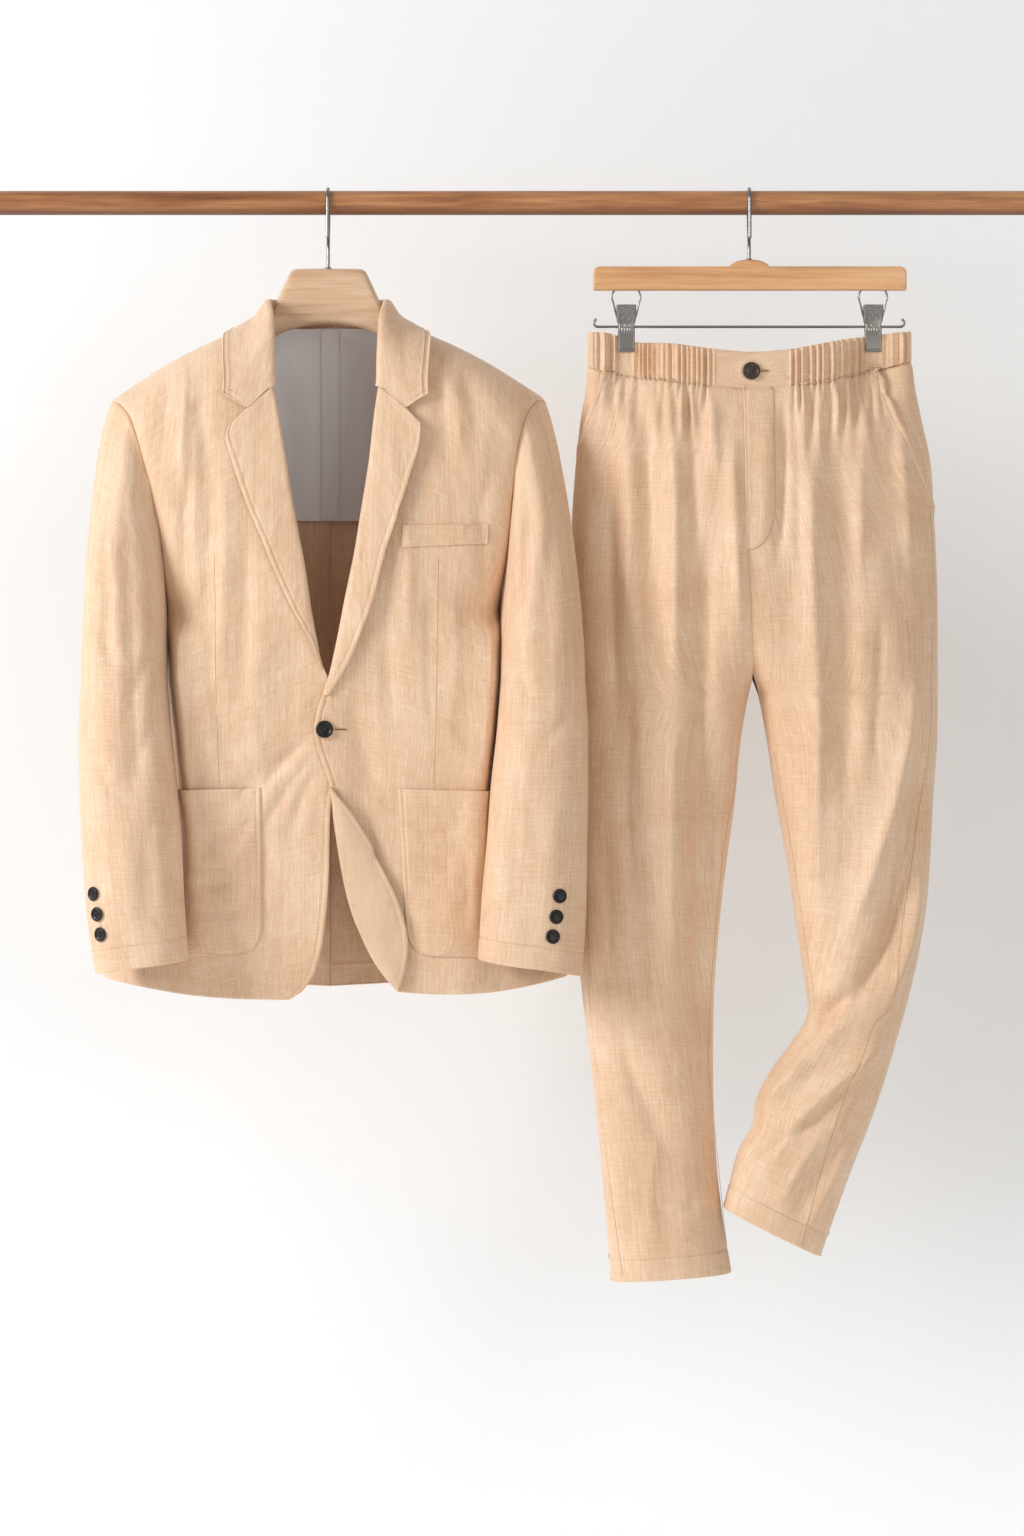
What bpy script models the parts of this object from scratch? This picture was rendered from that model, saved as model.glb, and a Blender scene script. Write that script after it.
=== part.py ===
"""Two-piece linen suit: a blazer on a contoured wooden hanger and matching trousers clipped to a bar hanger.

Both hangers hook on one horizontal wooden rod. The world's origin is the middle of the rod's axis, X runs
along the rod, -Y is the front and Z is up. Inside the tables every length is in millimetres: a is the
sideways distance from the garment's own centre line, d is the distance below the rod's axis and y is the
depth, negative towards the front.
"""

import math

import bmesh
import bpy
import numpy as np
from mathutils import Matrix

MM = 0.001

# Driving dimensions, in millimetres
ROD_LENGTH = 1100.0
ROD_DIAMETER = 25.4
JACKET_X = -193.0
TROUSERS_X = 252.0
CLOTH = 1.6
BAND_CLOTH = 2.2
SEAM = 0.3
CENTRE_BACK = 0.45
RIM = 0.3
LEG_RIM = 0.4
SHOULDER_ROUND = 80.0
NAPE_ROUND = 50.0
WIRE = 3.6
HOOK_TIP_DROP = 38.0
JACKET_HANGER_TOP = 69.0
BAR_TOP = 60.0
BAR_THICK = 13.0
BAR_TALL = 25.0
FRONT_BUTTON = 18.0
CUFF_BUTTON = 13.0
WAIST_BUTTON = 18.5
GATHER = 3.3
GATHER_DEPTH = 1.0
NAPE = 121.3
CLIP_A = (-132.0, 127.0)
CLIP_WIDTH = 19.0
CLIP_ROD_DROP = 127.0
CLIP_ROD = 2.8
CLIP_ROLL = 9.4
LOOP_WIRE = 2.0

RIGHT, LEFT = -1, 1
SIDE_NAMES = {RIGHT: "right", LEFT: "left"}

LINEN = ("linen", (0.73, 0.50, 0.29), 0.85, 0.0)
LINEN_INSIDE = ("linen_inside", (0.66, 0.45, 0.27), 0.88, 0.0)
LINING = ("grey_lining", (0.60, 0.61, 0.63), 0.7, 0.0)
ROD_WOOD = ("rod_wood", (0.42, 0.19, 0.09), 0.45, 0.0)
HANGER_WOOD = ("hanger_wood", (0.60, 0.38, 0.22), 0.45, 0.0)
BAR_WOOD = ("bar_wood", (0.65, 0.33, 0.14), 0.45, 0.0)
STEEL = ("bright_steel", (0.62, 0.62, 0.62), 0.25, 1.0)
HORN = ("dark_horn", (0.03, 0.025, 0.02), 0.35, 0.0)


def columns(names, rows):
    """A table as a dictionary of its named columns."""
    return dict(zip(names.split(), np.array(rows, float).T))


# Front panels of the blazer, one row a level: the neckline, roll line and front edge (in), and the armhole
# and side seam (out). bow is how far the row droops in its middle.
FRONT_ROWS = {
    RIGHT: columns("in_a in_d out_a out_d bow", [
        (66, 124, 226, 207, -8), (65.5, 126.2, 226, 209.4, -8), (65.5, 142, 217, 213, -6),
        (62, 170, 206, 226, -2), (57.5, 198, 198, 246, 0), (47, 240, 190, 275, 0), (36, 295, 180, 314, 0),
        (26, 360, 171, 364, 0), (15, 430, 168, 428, 0), (7, 466, 169, 462, 0), (-3, 500, 177, 500, 0),
        (-13, 540, 194, 540, 0), (-13, 585, 208, 585, 0), (-5, 640, 215, 640, 0), (-3, 700, 221, 698, 0),
        (1, 755, 228, 746, 1), (9, 798, 233, 782, 3), (22, 822, 235, 801, 5), (38, 834, 236, 812, 7),
    ]),
    LEFT: columns("in_a in_d out_a out_d bow", [
        (66, 124, 226, 205, -8), (65.5, 126.2, 226, 207.4, -8), (65.5, 142, 218, 211, -6),
        (62, 170, 209, 224, -2), (58, 198, 203, 243, 0), (50, 245, 197, 273, 0), (42, 300, 194, 312, 0),
        (31, 360, 190, 360, 0), (16, 440, 180, 428, 0), (9, 475, 181.5, 466, 0), (2, 505, 189, 502, 0),
        (-7, 538, 200, 537, 0), (-8, 569, 209, 570, 0), (4, 616, 214, 616, 0), (10, 660, 219, 658, 0),
        (19, 715, 227, 710, 0), (33, 760, 239, 750, 2), (51, 797, 247, 785, 5), (74, 826, 252, 811, 9),
    ]),
}

# Depth of the blazer's body by level: chest and back at the centre, and the panels' outer edge in front and
# behind. tuck is 1 where the side bends back round the sleeve and 0 where it is simply round.
BODY = columns("d chest back edge_front edge_back tuck", [
    (120, -60, 60, -50, 46, 0), (207, -65, 66, -50, 46, 0), (330, -73, 74, -50, 46, 0),
    (389, -77, 77, -38, 38, 0), (428, -78, 78, -5, -5, 0), (462, -78, 77, 18, 18, 0.8),
    (500, -77, 75, 34, 34, 1), (570, -73, 71, 38, 38, 1), (620, -68, 68, 32, 32, 0.95),
    (700, -61, 64, 16, 16, 0.5), (790, -56, 60, 6, 6, 0.05), (840, -54, 58, 5, 5, 0),
])

# Rings of the sleeves below the head: inner and outer ends, middle depth and half depth.
SLEEVE_RINGS = {
    RIGHT: columns("in_a in_d out_a out_d y half", [
        (165, 500, 254, 500, -55, 55), (160, 556, 256, 556, -62, 52), (154, 612, 255, 612, -68, 49),
        (149, 668, 252, 668, -74, 46), (146, 724, 248, 726, -79, 43), (141, 791, 237, 806, -85, 40),
    ]),
    LEFT: columns("in_a in_d out_a out_d y half", [
        (181, 500, 269, 500, -55, 55), (177, 556, 272, 556, -62, 52), (171, 612, 272, 612, -68, 49),
        (167, 668, 271, 668, -74, 46), (162, 724, 270, 726, -79, 43), (158, 789, 266, 806, -85, 41),
    ]),
}
HEAD_LEVELS = (0.0, 0.07, 0.17, 0.3, 0.45, 0.62, 0.81)
HEAD_FOOT = 500.0
SLEEVE_LEVELS = (500.0, 545.0, 590.0, 640.0, 690.0, 740.0, 791.0)
ARMHOLE_ROWS = 9
SLEEVE_RIM = 0.45
ARMPIT_RIM = 1.0
ARMHOLE_GAP = 2.0
ARMPIT_GAP = 1.2
HEAD_SPREAD = 56.0

# Lapels: the outer edge beside the roll line, from the gorge seam down to the button.
LAPEL_ROWS = {
    RIGHT: columns("in_a in_d mid_a mid_d out_a out_d", [
        (54, 199, 80, 220, 101, 240), (51, 212, 80, 228, 103, 251), (47, 235, 76, 248, 99, 266),
        (41, 270, 70, 282, 93, 288), (35, 308, 62, 316, 83, 316), (28, 346, 51, 352, 67, 353),
        (20, 388, 38, 392, 51, 393), (14, 430, 27, 430, 34, 429), (8, 462, 14, 462, 16, 462),
        (2, 492, 3, 492.5, 3.6, 493),
    ]),
    LEFT: columns("in_a in_d mid_a mid_d out_a out_d", [
        (54, 199, 79, 218, 99, 237), (52, 212, 79, 226, 101, 248), (49, 235, 77, 246, 98, 264),
        (44, 280, 68, 288, 87, 292), (36, 330, 58, 334, 74, 336), (29, 374, 47, 377, 60, 377),
        (20, 418, 38, 419, 49, 419), (12, 460, 26, 461, 34, 461), (5, 492, 14, 494, 18, 495),
        (-2, 517, 2, 518, 4, 519),
    ]),
}

# The left front's edge below the button, folded outwards so that its facing shows.
FACING_ROWS = columns("in_a in_d out_a out_d", [
    (5, 618, 9, 619), (8, 640, 22, 634), (11, 664, 37, 658), (15, 692, 53, 686), (20, 720, 69, 718),
    (27, 745, 80, 745), (36, 767, 85, 770), (47, 789, 84, 792), (58, 807, 80, 810), (72, 823.5, 75, 824.5),
])

# The collar from the centre back to its front end: neck seam, roll, middle of the fall and outer edge.
# ON_FRONT and ON_BACK mark the points that lie on the front and back panels.
ON_FRONT, ON_BACK = -99, 99
COLLAR_ROWS = columns(
    "seam_a seam_d seam_y roll_a roll_d roll_y mid_a mid_d mid_y edge_a edge_d edge_y", [
        (0, 119.3, 52.5, 0, 97, 55, 0, 122, 62.5, 0, 148, ON_BACK),
        (22, 119.7, 51.5, 20, 97, 54, 24, 122, 61, 26, 148, ON_BACK),
        (45, 120.3, 46, 40, 97.5, 47, 50, 122, 56, 57, 148, ON_BACK),
        (58, 120.5, 34, 54, 98.5, 31, 68, 122, 42, 82, 147.5, ON_BACK),
        (64, 120.8, 17, 60, 100, 13, 76, 120, 18, 97, 142.5, ON_BACK),
        (66, 121, 0, 61.5, 101.5, -5, 78, 119.5, -3, 103, 134, 0),
        (64, 125, -22, 60, 105, -24, 80, 130, -31, 105, 147, ON_FRONT),
        (60, 139, -38, 57, 119, -43, 80, 148, ON_FRONT, 105, 160, ON_FRONT),
        (57, 158, -50, 55.5, 142, -57, 80, 169, ON_FRONT, 104.5, 178, ON_FRONT),
        (55, 178, -58, 54.5, 168, -64, 80, 193, ON_FRONT, 104, 191, ON_FRONT),
        (54.5, 196, -65, 54, 195.5, -69, 80.5, 216, ON_FRONT, 103.5, 203.5, ON_FRONT),
    ])

# Patch pockets and chest welt on the fronts: their sides, top and bottom.
POCKETS = {
    RIGHT: {"in_top": 67.0, "in_bottom": 67.0, "out": 196.0, "top": 614.0, "bottom": 788.0, "corner": 29.0},
    LEFT: {"in_top": 75.0, "in_bottom": 84.0, "out": 204.0, "top": 615.0, "bottom": 789.0, "corner": 29.0},
}
POCKET_LIFT = 3.8
WELT = {"in_a": 77.0, "out_a": 170.5, "in_d": 342.0, "out_d": 340.0, "height": 23.0}
CUFF_BUTTON_LIFT = 0.6
FRONT_BUTTON_AT = (3.0, 552.0)
CUFF_BUTTONS = {
    RIGHT: ((234.5, 722.0), (229.5, 742.5), (225.5, 763.0)),
    LEFT: ((245.5, 724.0), (241.5, 745.0), (238.0, 764.0)),
}

# Hanger inside the blazer's shoulders: top and bottom lines and half thickness by sideways station.
HANGER_ROWS = columns("a top bottom half", [
    (0, 69, 127.5, 11), (20, 69, 128.5, 11), (33, 69.3, 131, 11), (37, 71, 132, 11), (40, 75, 133, 11),
    (48, 89.5, 136, 11.5), (55.5, 104, 140, 12), (58, 117, 142, 13), (61, 127, 145, 14),
])
HANGER_ARM = np.array([70.0, 96.0, 124.0, 152.0, 180.0, 202.0, 215.0])
HANGER_ARM_TALL = 26.0
HANGER_CLEAR = 2.4

# Trouser legs, one row a level: centre seam or inseam (in), outseam (out), depth of the outseam, depth in
# front and behind, and closure: 0 while the panel ends at the centre seam, 1 where it wraps to the inseam.
LEG_ROWS = {
    RIGHT: columns("in_a in_d out_a out_d out_y front back closure", [
        (13, 198, 172.5, 177, 0, 27, 25, 0), (13, 214, 174.5, 196, 3, 31, 31, 0),
        (13, 240, 180, 228, 8, 38, 40, 0), (13, 280, 185, 274, 12, 45, 51, 0),
        (13, 330, 189, 330, 15, 50, 60, 0), (12, 380, 190, 380, 16, 53, 64, 0),
        (8, 425, 191, 425, 16, 54, 63, 0.12), (4, 465, 191, 465, 14, 55, 60, 0.45),
        (1.2, 493, 190.5, 493, 12, 55, 57, 0.8), (4, 517, 190, 520, 10, 55, 55, 1),
        (12, 564, 190, 564, 8, 55, 55, 1), (19, 635, 190, 635, 4, 54, 54, 1),
        (31, 725, 186, 725, 0, 52, 52, 1),
        (39, 815, 180, 815, 0, 49, 49, 1), (41, 889, 171, 889, 0, 47, 47, 1),
        (40, 955, 163.5, 955, 0, 45, 45, 1), (36.5, 1016, 157.5, 1018, 0, 44, 44, 1),
        (29.5, 1074, 152, 1080, 0, 43, 43, 1), (21.5, 1122, 148, 1131, 0, 42, 42, 1),
    ]),
    LEFT: columns("in_a in_d out_a out_d out_y front back closure", [
        (-12.4, 198, 167, 172, 0, 27, 25, 0), (-12.4, 214, 171, 192, 2, 31, 31, 0),
        (-12.4, 240, 178, 225, 5, 38, 40, 0), (-12.4, 280, 188, 272, 6, 45, 51, 0),
        (-12.4, 330, 191.5, 328, 6, 50, 60, 0), (-11.4, 380, 194, 380, 5, 53, 64, 0),
        (-7.4, 425, 195, 425, 4, 54, 63, 0.12), (-3.4, 465, 195, 465, 3, 55, 60, 0.45),
        (-0.6, 493, 195, 493, 2, 55, 57, 0.8), (6, 515, 195, 520, 1, 55, 55, 1),
        (16, 567, 194, 570, 0, 55, 55, 1), (25, 627, 190, 627, 0, 54, 54, 1),
        (35, 682, 187, 685, 0, 52, 52, 1), (43, 735, 183, 738, 0, 51, 51, 1),
        (50, 784, 174, 792, 0, 50, 50, 1), (56, 821, 164, 834, -2, 49, 49, 1),
        (58, 852, 153, 872, -5, 48, 46, 1), (42, 879, 141, 912, -8, 48, 45, 1),
        (19, 910, 129, 948, -11, 48, 44, 1), (3.5, 940, 116.5, 981, -13, 46, 44, 1),
        (-0.5, 967, 105, 1009, -14, 44, 43, 1), (-15, 994, 93, 1042, -14, 43, 42, 1),
        (-24, 1026, 80, 1078, -14, 42, 41, 1), (-31, 1053, 71, 1104, -14, 42, 41, 1),
    ]),
}
LEG_SQUARE = 2.3
# Row below which the whole section of a leg turns with its outseam.
TURNED_FROM = 12
# Rows at which a leg that bends is parted, below the seat and at the knee, and what each stretch is called.
LEG_PARTINGS = {RIGHT: [], LEFT: [8, 16]}
LEG_STRETCHES = ["", "thigh_", "shin_"]
PARTING = 0.009
# Share of the way round to the side at which the slant pocket cuts the front, by level at the outseam.
POCKET_CUT = {
    RIGHT: columns("level reach", [(177, 0.895), (215, 0.95), (252, 0.985)]),
    LEFT: columns("level reach", [(172, 0.80), (220, 0.86), (267, 0.915), (314, 0.985)]),
}
HIP_SEAM = 0.005

# One jaw of a clip from its finger pad to its lip: depth and level.
CLIP_JAW = [(-9.5, 107.5), (-8.6, 112), (-6.6, 120), (-6.3, 126), (-6.8, 133), (-6.0, 141), (-5.4, 149),
            (-5.4, 156.5)]

# Waistband: top and bottom edges by sideways place, for the whole width.
BAND = columns("a top bottom", [
    (-172, 135.5, 173), (-150, 137, 179), (-123, 146.5, 184), (-85, 149, 189.5), (-43, 154.5, 194.5),
    (-3, 158, 197.5), (32, 156, 195), (75, 148.5, 190.5), (112, 141.5, 181), (138, 138, 174), (166, 135, 167),
])
BAND_DEPTH = {"front": 27.0, "back": 25.0}
CLIP_NIP = 2.7
NIP_REACH = 17.0
ELASTIC_FROM = 44.0
WAIST_BUTTON_AT = (-2.5, 178.6)

# Deep folds of the trousers' fronts and backs: ends, half width and height, positive away from the body.
LEG_FOLDS = {
    (RIGHT, "front"): columns("a0 d0 a1 d1 half height", [
        (131, 190, 126, 480, 13, 5), (150, 230, 142, 560, 12, -6), (110, 195, 104, 420, 10, -4),
        (90, 190, 84, 520, 12, 5), (74, 195, 66, 600, 11, -5), (54, 200, 46, 430, 11, 3.5),
        (24, 205, 30, 480, 11, 3), (96, 780, 120, 1000, 18, 3),
    ]),
    (LEFT, "front"): columns("a0 d0 a1 d1 half height", [
        (4, 205, 2, 400, 10, 3), (36, 200, 44, 600, 13, -5), (60, 195, 66, 520, 12, 4.5),
        (86, 190, 96, 560, 12, -5), (140, 190, 132, 430, 14, 4), (168, 260, 176, 520, 9, -3),
        (30, 915, 125, 862, 12, -7), (20, 965, 112, 900, 11, -5), (0, 985, 60, 960, 9, -4),
        (25, 940, 118, 884, 9, 4),
    ]),
    (RIGHT, "back"): columns("a0 d0 a1 d1 half height", [
        (34, 200, 40, 430, 13, -4), (66, 200, 70, 520, 13, 4), (102, 195, 96, 450, 12, -4),
        (136, 190, 128, 540, 13, 4), (100, 700, 112, 1000, 18, 3),
    ]),
    (LEFT, "back"): columns("a0 d0 a1 d1 half height", [
        (28, 200, 36, 500, 13, 4), (62, 200, 58, 430, 12, -4), (98, 195, 104, 520, 13, 4),
        (140, 190, 132, 450, 12, -4), (60, 880, 150, 850, 12, -4),
    ]),
}
# Deep folds of the blazer's fronts and backs.
BODY_FOLDS = {
    (RIGHT, "front"): columns("a0 d0 a1 d1 half height", [
        (88, 330, 112, 560, 14, 2.5), (12, 560, 110, 640, 11, -2.5), (140, 280, 148, 430, 12, -2.5),
    ]),
    (LEFT, "front"): columns("a0 d0 a1 d1 half height", [
        (110, 150, 168, 212, 9, -2.5), (118, 172, 176, 236, 8, 2), (24, 560, 110, 630, 11, -2.5),
        (96, 420, 110, 590, 15, 2.5),
    ]),
    (RIGHT, "back"): columns("a0 d0 a1 d1 half height", [
        (60, 300, 70, 620, 18, 3), (120, 420, 128, 760, 18, -3), (30, 520, 36, 780, 16, 3),
    ]),
    (LEFT, "back"): columns("a0 d0 a1 d1 half height", [
        (64, 280, 58, 600, 18, 3), (112, 400, 124, 740, 18, -3), (26, 560, 40, 790, 16, 3),
    ]),
}
# Deep folds of the sleeves, a0 and a1 being the way round from the outside (0) to the inside (SLEEVE_ROUND).
SLEEVE_ROUND = 150.0
SLEEVE_FOLDS = columns("a0 d0 a1 d1 half height", [
    (45, 320, 93, 400, 11, 4), (68, 410, 108, 480, 10, -4), (52, 550, 90, 690, 11, 3),
    (93, 630, 78, 770, 10, -3),
])


# Curves and surfaces


def smooth(x, xs, ys):
    """Monotone cubic through the points (xs, ys), level beyond the ends."""
    x = np.clip(np.asarray(x, float), xs[0], xs[-1])
    step = np.diff(xs)
    slope = np.diff(ys) / step
    before, after = slope[:-1], slope[1:]
    joint = np.where(before * after > 0, 2 * before * after / (before + after + 1e-12), 0.0)
    tangent = np.concatenate([[slope[0]], joint, [slope[-1]]])
    i = np.clip(np.searchsorted(xs, x, side="right") - 1, 0, len(step) - 1)
    t = (x - xs[i]) / step[i]
    return (
        ys[i] * (1 + 2 * t) * (1 - t) ** 2
        + tangent[i] * step[i] * t * (1 - t) ** 2
        + ys[i + 1] * t * t * (3 - 2 * t)
        + tangent[i + 1] * step[i] * t * t * (t - 1)
    )


def smoothstep(t):
    t = np.clip(t, 0, 1)
    return t * t * (3 - 2 * t)


def folds(table, a, d):
    """Soft troughs and ridges: a bell across each fold's line, fading towards its two ends."""
    total = np.zeros(np.broadcast(a, d).shape)
    for a0, d0, a1, d1, half, height in zip(*table.values()):
        along = ((a - a0) * (a1 - a0) + (d - d0) * (d1 - d0)) / ((a1 - a0) ** 2 + (d1 - d0) ** 2)
        near = np.clip(along, 0, 1)
        away = np.hypot(a - a0 - near * (a1 - a0), d - d0 - near * (d1 - d0))
        fade = smoothstep(near / 0.25) * smoothstep((1 - near) / 0.45)
        total = total + height * fade * np.exp(-((away / half) ** 2))
    return total


def side_seam(side, d):
    """Sideways place of the armhole and side seam at a level."""
    rows = FRONT_ROWS[side]
    return smooth(d, rows["out_d"], rows["out_a"])


def ridge(side, a):
    """Level of the shoulder line at a sideways place."""
    rows = FRONT_ROWS[side]
    share = (a - rows["in_a"][0]) / (rows["out_a"][0] - rows["in_a"][0])
    bow = rows["bow"][0] * np.sin(np.pi * np.clip(share, 0, 1))
    return rows["in_d"][0] + share * (rows["out_d"][0] - rows["in_d"][0]) + bow


def side_profile(side, a, d):
    """1 at the middle of the body, 0 at its outer edge, tucked behind the sleeve where tuck is 1."""
    t = np.clip(np.abs(a) / side_seam(side, d), 0, 1)
    tuck = smooth(d, BODY["d"], BODY["tuck"])
    return (1 - tuck) * (1 - t**2.4) ** (1 / 2.4) + tuck * (1 - smoothstep((t - 0.54) / 0.46))


def shoulder(side, a, d, reach):
    """0 on the shoulder line rising to 1 once the cloth hangs straight."""
    drop = np.clip((d - ridge(side, a)) / reach, 0, 1)
    return np.sqrt(1 - (1 - drop) ** 2)


def front_y(side, a, d):
    """Depth of the blazer's front at (a, d)."""
    edge = smooth(d, BODY["d"], BODY["edge_front"])
    chest = smooth(d, BODY["d"], BODY["chest"])
    y = edge + (chest - edge) * side_profile(side, a, d)
    t = np.clip(np.abs(a) / side_seam(side, d), 0, 1)
    y = y - (CLOTH + 1.0) * smooth(d, BODY["d"], BODY["tuck"]) * t**6
    y = y * shoulder(side, a, d, SHOULDER_ROUND) - folds(BODY_FOLDS[side, "front"], a, d)
    if side == LEFT:
        over = smoothstep((45 - a) / 30) * smoothstep((d - 440) / 55) * smoothstep((740 - d) / 90)
        y = y - 3.4 * over
    return y


def back_y(side, a, d):
    """Depth of the blazer's back at (a, d)."""
    edge = smooth(d, BODY["d"], BODY["edge_back"])
    back = smooth(d, BODY["d"], BODY["back"])
    t = np.clip(np.abs(a) / side_seam(side, d), 0, 1)
    y = edge + (back - edge) * (1 - t**2.6) ** (1 / 2.6)
    return y * shoulder(side, a, d, NAPE_ROUND) + folds(BODY_FOLDS[side, "back"], a, d)


def lifted(depth, side, a, d, height, face):
    """Point (a, y, d) a height off the surface depth(side, a, d); face is -1 in front and 1 behind."""
    step = 0.5
    along_a = (depth(side, a + step, d) - depth(side, a - step, d)) / (2 * step)
    along_d = (depth(side, a, d + step) - depth(side, a, d - step)) / (2 * step)
    length = np.sqrt(1 + along_a**2 + along_d**2)
    return np.stack([
        a - face * height * along_a / length,
        depth(side, a, d) + face * height / length,
        d - face * height * along_d / length,
    ], axis=-1)


def rows_between(rows, shares):
    """Grid of (a, d) from each row's in end to its out end, with the row's droop."""
    w = np.asarray(shares)[None, :]
    a = rows["in_a"][:, None] * (1 - w) + rows["out_a"][:, None] * w
    d = rows["in_d"][:, None] * (1 - w) + rows["out_d"][:, None] * w
    if "bow" in rows:
        d = d + rows["bow"][:, None] * np.sin(np.pi * w)
    return a, d


# Objects


def material(spec):
    name, colour, roughness, metallic = spec
    found = bpy.data.materials.get(name)
    if found:
        return found
    made = bpy.data.materials.new(name)
    made.use_nodes = True
    shader = made.node_tree.nodes["Principled BSDF"]
    shader.inputs["Base Color"].default_value = (*colour, 1.0)
    shader.inputs["Roughness"].default_value = roughness
    shader.inputs["Metallic"].default_value = metallic
    made.diffuse_color = (*colour, 1.0)
    return made


def place(obj, spec):
    """Puts an object in the suit's collection with its material."""
    for old in list(obj.users_collection):
        old.objects.unlink(obj)
    SUIT.objects.link(obj)
    obj.data.materials.clear()
    obj.data.materials.append(material(spec))
    return obj


def world(points, centre, side):
    """Table coordinates (a, y, d) as world metres."""
    points = np.asarray(points, float)
    return np.stack([centre + side * points[..., 0], points[..., 1], -points[..., 2]], axis=-1) * MM


def new_mesh(name, vertices, faces):
    mesh = bpy.data.meshes.new(name)
    mesh.from_pydata([tuple(v) for v in vertices], [], faces)
    mesh.update()
    return bpy.data.objects.new(name, mesh)


def sheet(name, grid, facing, spec, wall=CLOTH):
    """A cloth piece: a grid of outer points, thickened away from the side that it faces."""
    rows, cols = grid.shape[:2]
    corner = np.arange(rows * cols).reshape(rows, cols)
    quads = np.stack([corner[:-1, :-1], corner[:-1, 1:], corner[1:, 1:], corner[1:, :-1]], axis=-1)
    quads = quads.reshape(-1, 4)
    points = grid.reshape(-1, 3)
    across = points[quads[:, 2]] - points[quads[:, 0]]
    along = points[quads[:, 3]] - points[quads[:, 1]]
    if np.cross(across, along).sum(axis=0) @ np.array(facing, float) < 0:
        quads = quads[:, ::-1]
    obj = new_mesh(name, points, quads.tolist())
    obj.data.shade_smooth()
    solid = obj.modifiers.new("cloth", "SOLIDIFY")
    solid.thickness = wall * MM
    solid.offset = -1.0
    return place(obj, spec)


def wire(name, path, diameter, spec, resolution=2):
    """A round wire along world points."""
    curve = bpy.data.curves.new(name, "CURVE")
    curve.dimensions = "3D"
    curve.bevel_depth = diameter / 2 * MM
    curve.bevel_resolution = resolution
    curve.use_fill_caps = True
    line = curve.splines.new("POLY")
    line.points.add(len(path) - 1)
    for point, at in zip(line.points, path):
        point.co = (*at, 1.0)
    return place(bpy.data.objects.new(name, curve), spec)


def turned_button(name, diameter, at, normal):
    """A button turned about its axis: flat back, raised rim and dished middle."""
    r = diameter / 2
    profile = [(0, 1.6), (0.6 * r, 1.6), (0.8 * r, 3.0), (r, 2.0), (0.9 * r, 0), (0, 0)]
    edges = [(i, i + 1) for i in range(len(profile) - 1)]
    mesh = bpy.data.meshes.new(name)
    mesh.from_pydata([(x * MM, 0, z * MM) for x, z in profile], edges, [])
    obj = bpy.data.objects.new(name, mesh)
    screw = obj.modifiers.new("turned", "SCREW")
    screw.steps = 12
    screw.render_steps = 12
    screw.use_merge_vertices = True
    screw.merge_threshold = 0.00001
    obj.matrix_world = frame_at(at, normal)
    return place(obj, HORN)


def frame_at(at, normal):
    """Matrix whose Z axis is the normal, at a world point."""
    from_z = np.array(normal, float) / np.linalg.norm(normal)
    side = np.cross((0.0, 0.0, 1.0), from_z)
    side = side / np.linalg.norm(side)
    up = np.cross(from_z, side)
    return Matrix.Translation(at) @ Matrix(np.stack([side, up, from_z], axis=1).tolist()).to_4x4()


def loft(name, rings, spec):
    """A closed solid through rings of equally many points, with flat ends."""
    count = len(rings[0])
    points = np.concatenate(rings)
    faces = [list(range(count))[::-1], [(len(rings) - 1) * count + j for j in range(count)]]
    for i in range(len(rings) - 1):
        for j in range(count):
            k = (j + 1) % count
            faces.append([i * count + j, i * count + k, (i + 1) * count + k, (i + 1) * count + j])
    obj = new_mesh(name, points, faces)
    box = bmesh.new()
    box.from_mesh(obj.data)
    bmesh.ops.recalc_face_normals(box, faces=box.faces)
    box.to_mesh(obj.data)
    box.free()
    obj.data.shade_smooth()
    obj.data.set_sharp_from_angle(angle=math.radians(40))
    return place(obj, spec)


def outline_plate(name, outline, thick, at, spec):
    """A flat plate of an (x, z) outline in millimetres, thick along Y."""
    curve = bpy.data.curves.new(name, "CURVE")
    curve.dimensions = "2D"
    curve.fill_mode = "BOTH"
    curve.extrude = thick / 2 * MM
    line = curve.splines.new("POLY")
    line.points.add(len(outline) - 1)
    for point, (x, z) in zip(line.points, outline):
        point.co = (x * MM, z * MM, 0, 1)
    line.use_cyclic_u = True
    obj = bpy.data.objects.new(name, curve)
    obj.rotation_euler = (math.pi / 2, 0, 0)
    obj.location = at
    return place(obj, spec)


# Rod, hangers and clips


def rod():
    bpy.ops.mesh.primitive_cylinder_add(vertices=24, radius=ROD_DIAMETER / 2 * MM, depth=ROD_LENGTH * MM)
    obj = bpy.context.object
    obj.name = obj.data.name = "hanging_rod"
    obj.data.transform(Matrix.Rotation(math.pi / 2, 4, "Y"))
    edge = obj.modifiers.new("chamfer", "BEVEL")
    edge.width = 1.5 * MM
    edge.segments = 1
    edge.limit_method = "ANGLE"
    edge.angle_limit = math.radians(60)
    obj.data.shade_smooth()
    obj.data.set_sharp_from_angle(angle=math.radians(40))
    return place(obj, ROD_WOOD)


def hook(name, x, foot):
    """Hook of one wire over the rod, edge-on from the front, its stem ending on the hanger's top."""
    turn = (ROD_DIAMETER + WIRE) / 2 + SEAM
    path = [(-turn - 0.6, HOOK_TIP_DROP), (-turn - 0.4, 19), (-turn, 4)]
    path += [(-turn * math.cos(math.pi * i / 9), -turn * math.sin(math.pi * i / 9)) for i in range(10)]
    path += [(turn, 8), (turn - 0.8, 18), (turn - 4, 28), (turn - 9.5, 36), (2, 43), (0, 50)]
    path += [(0, foot - SEAM)]
    return wire(name, [(x * MM, y * MM, -d * MM) for y, d in path], WIRE, STEEL)


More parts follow.
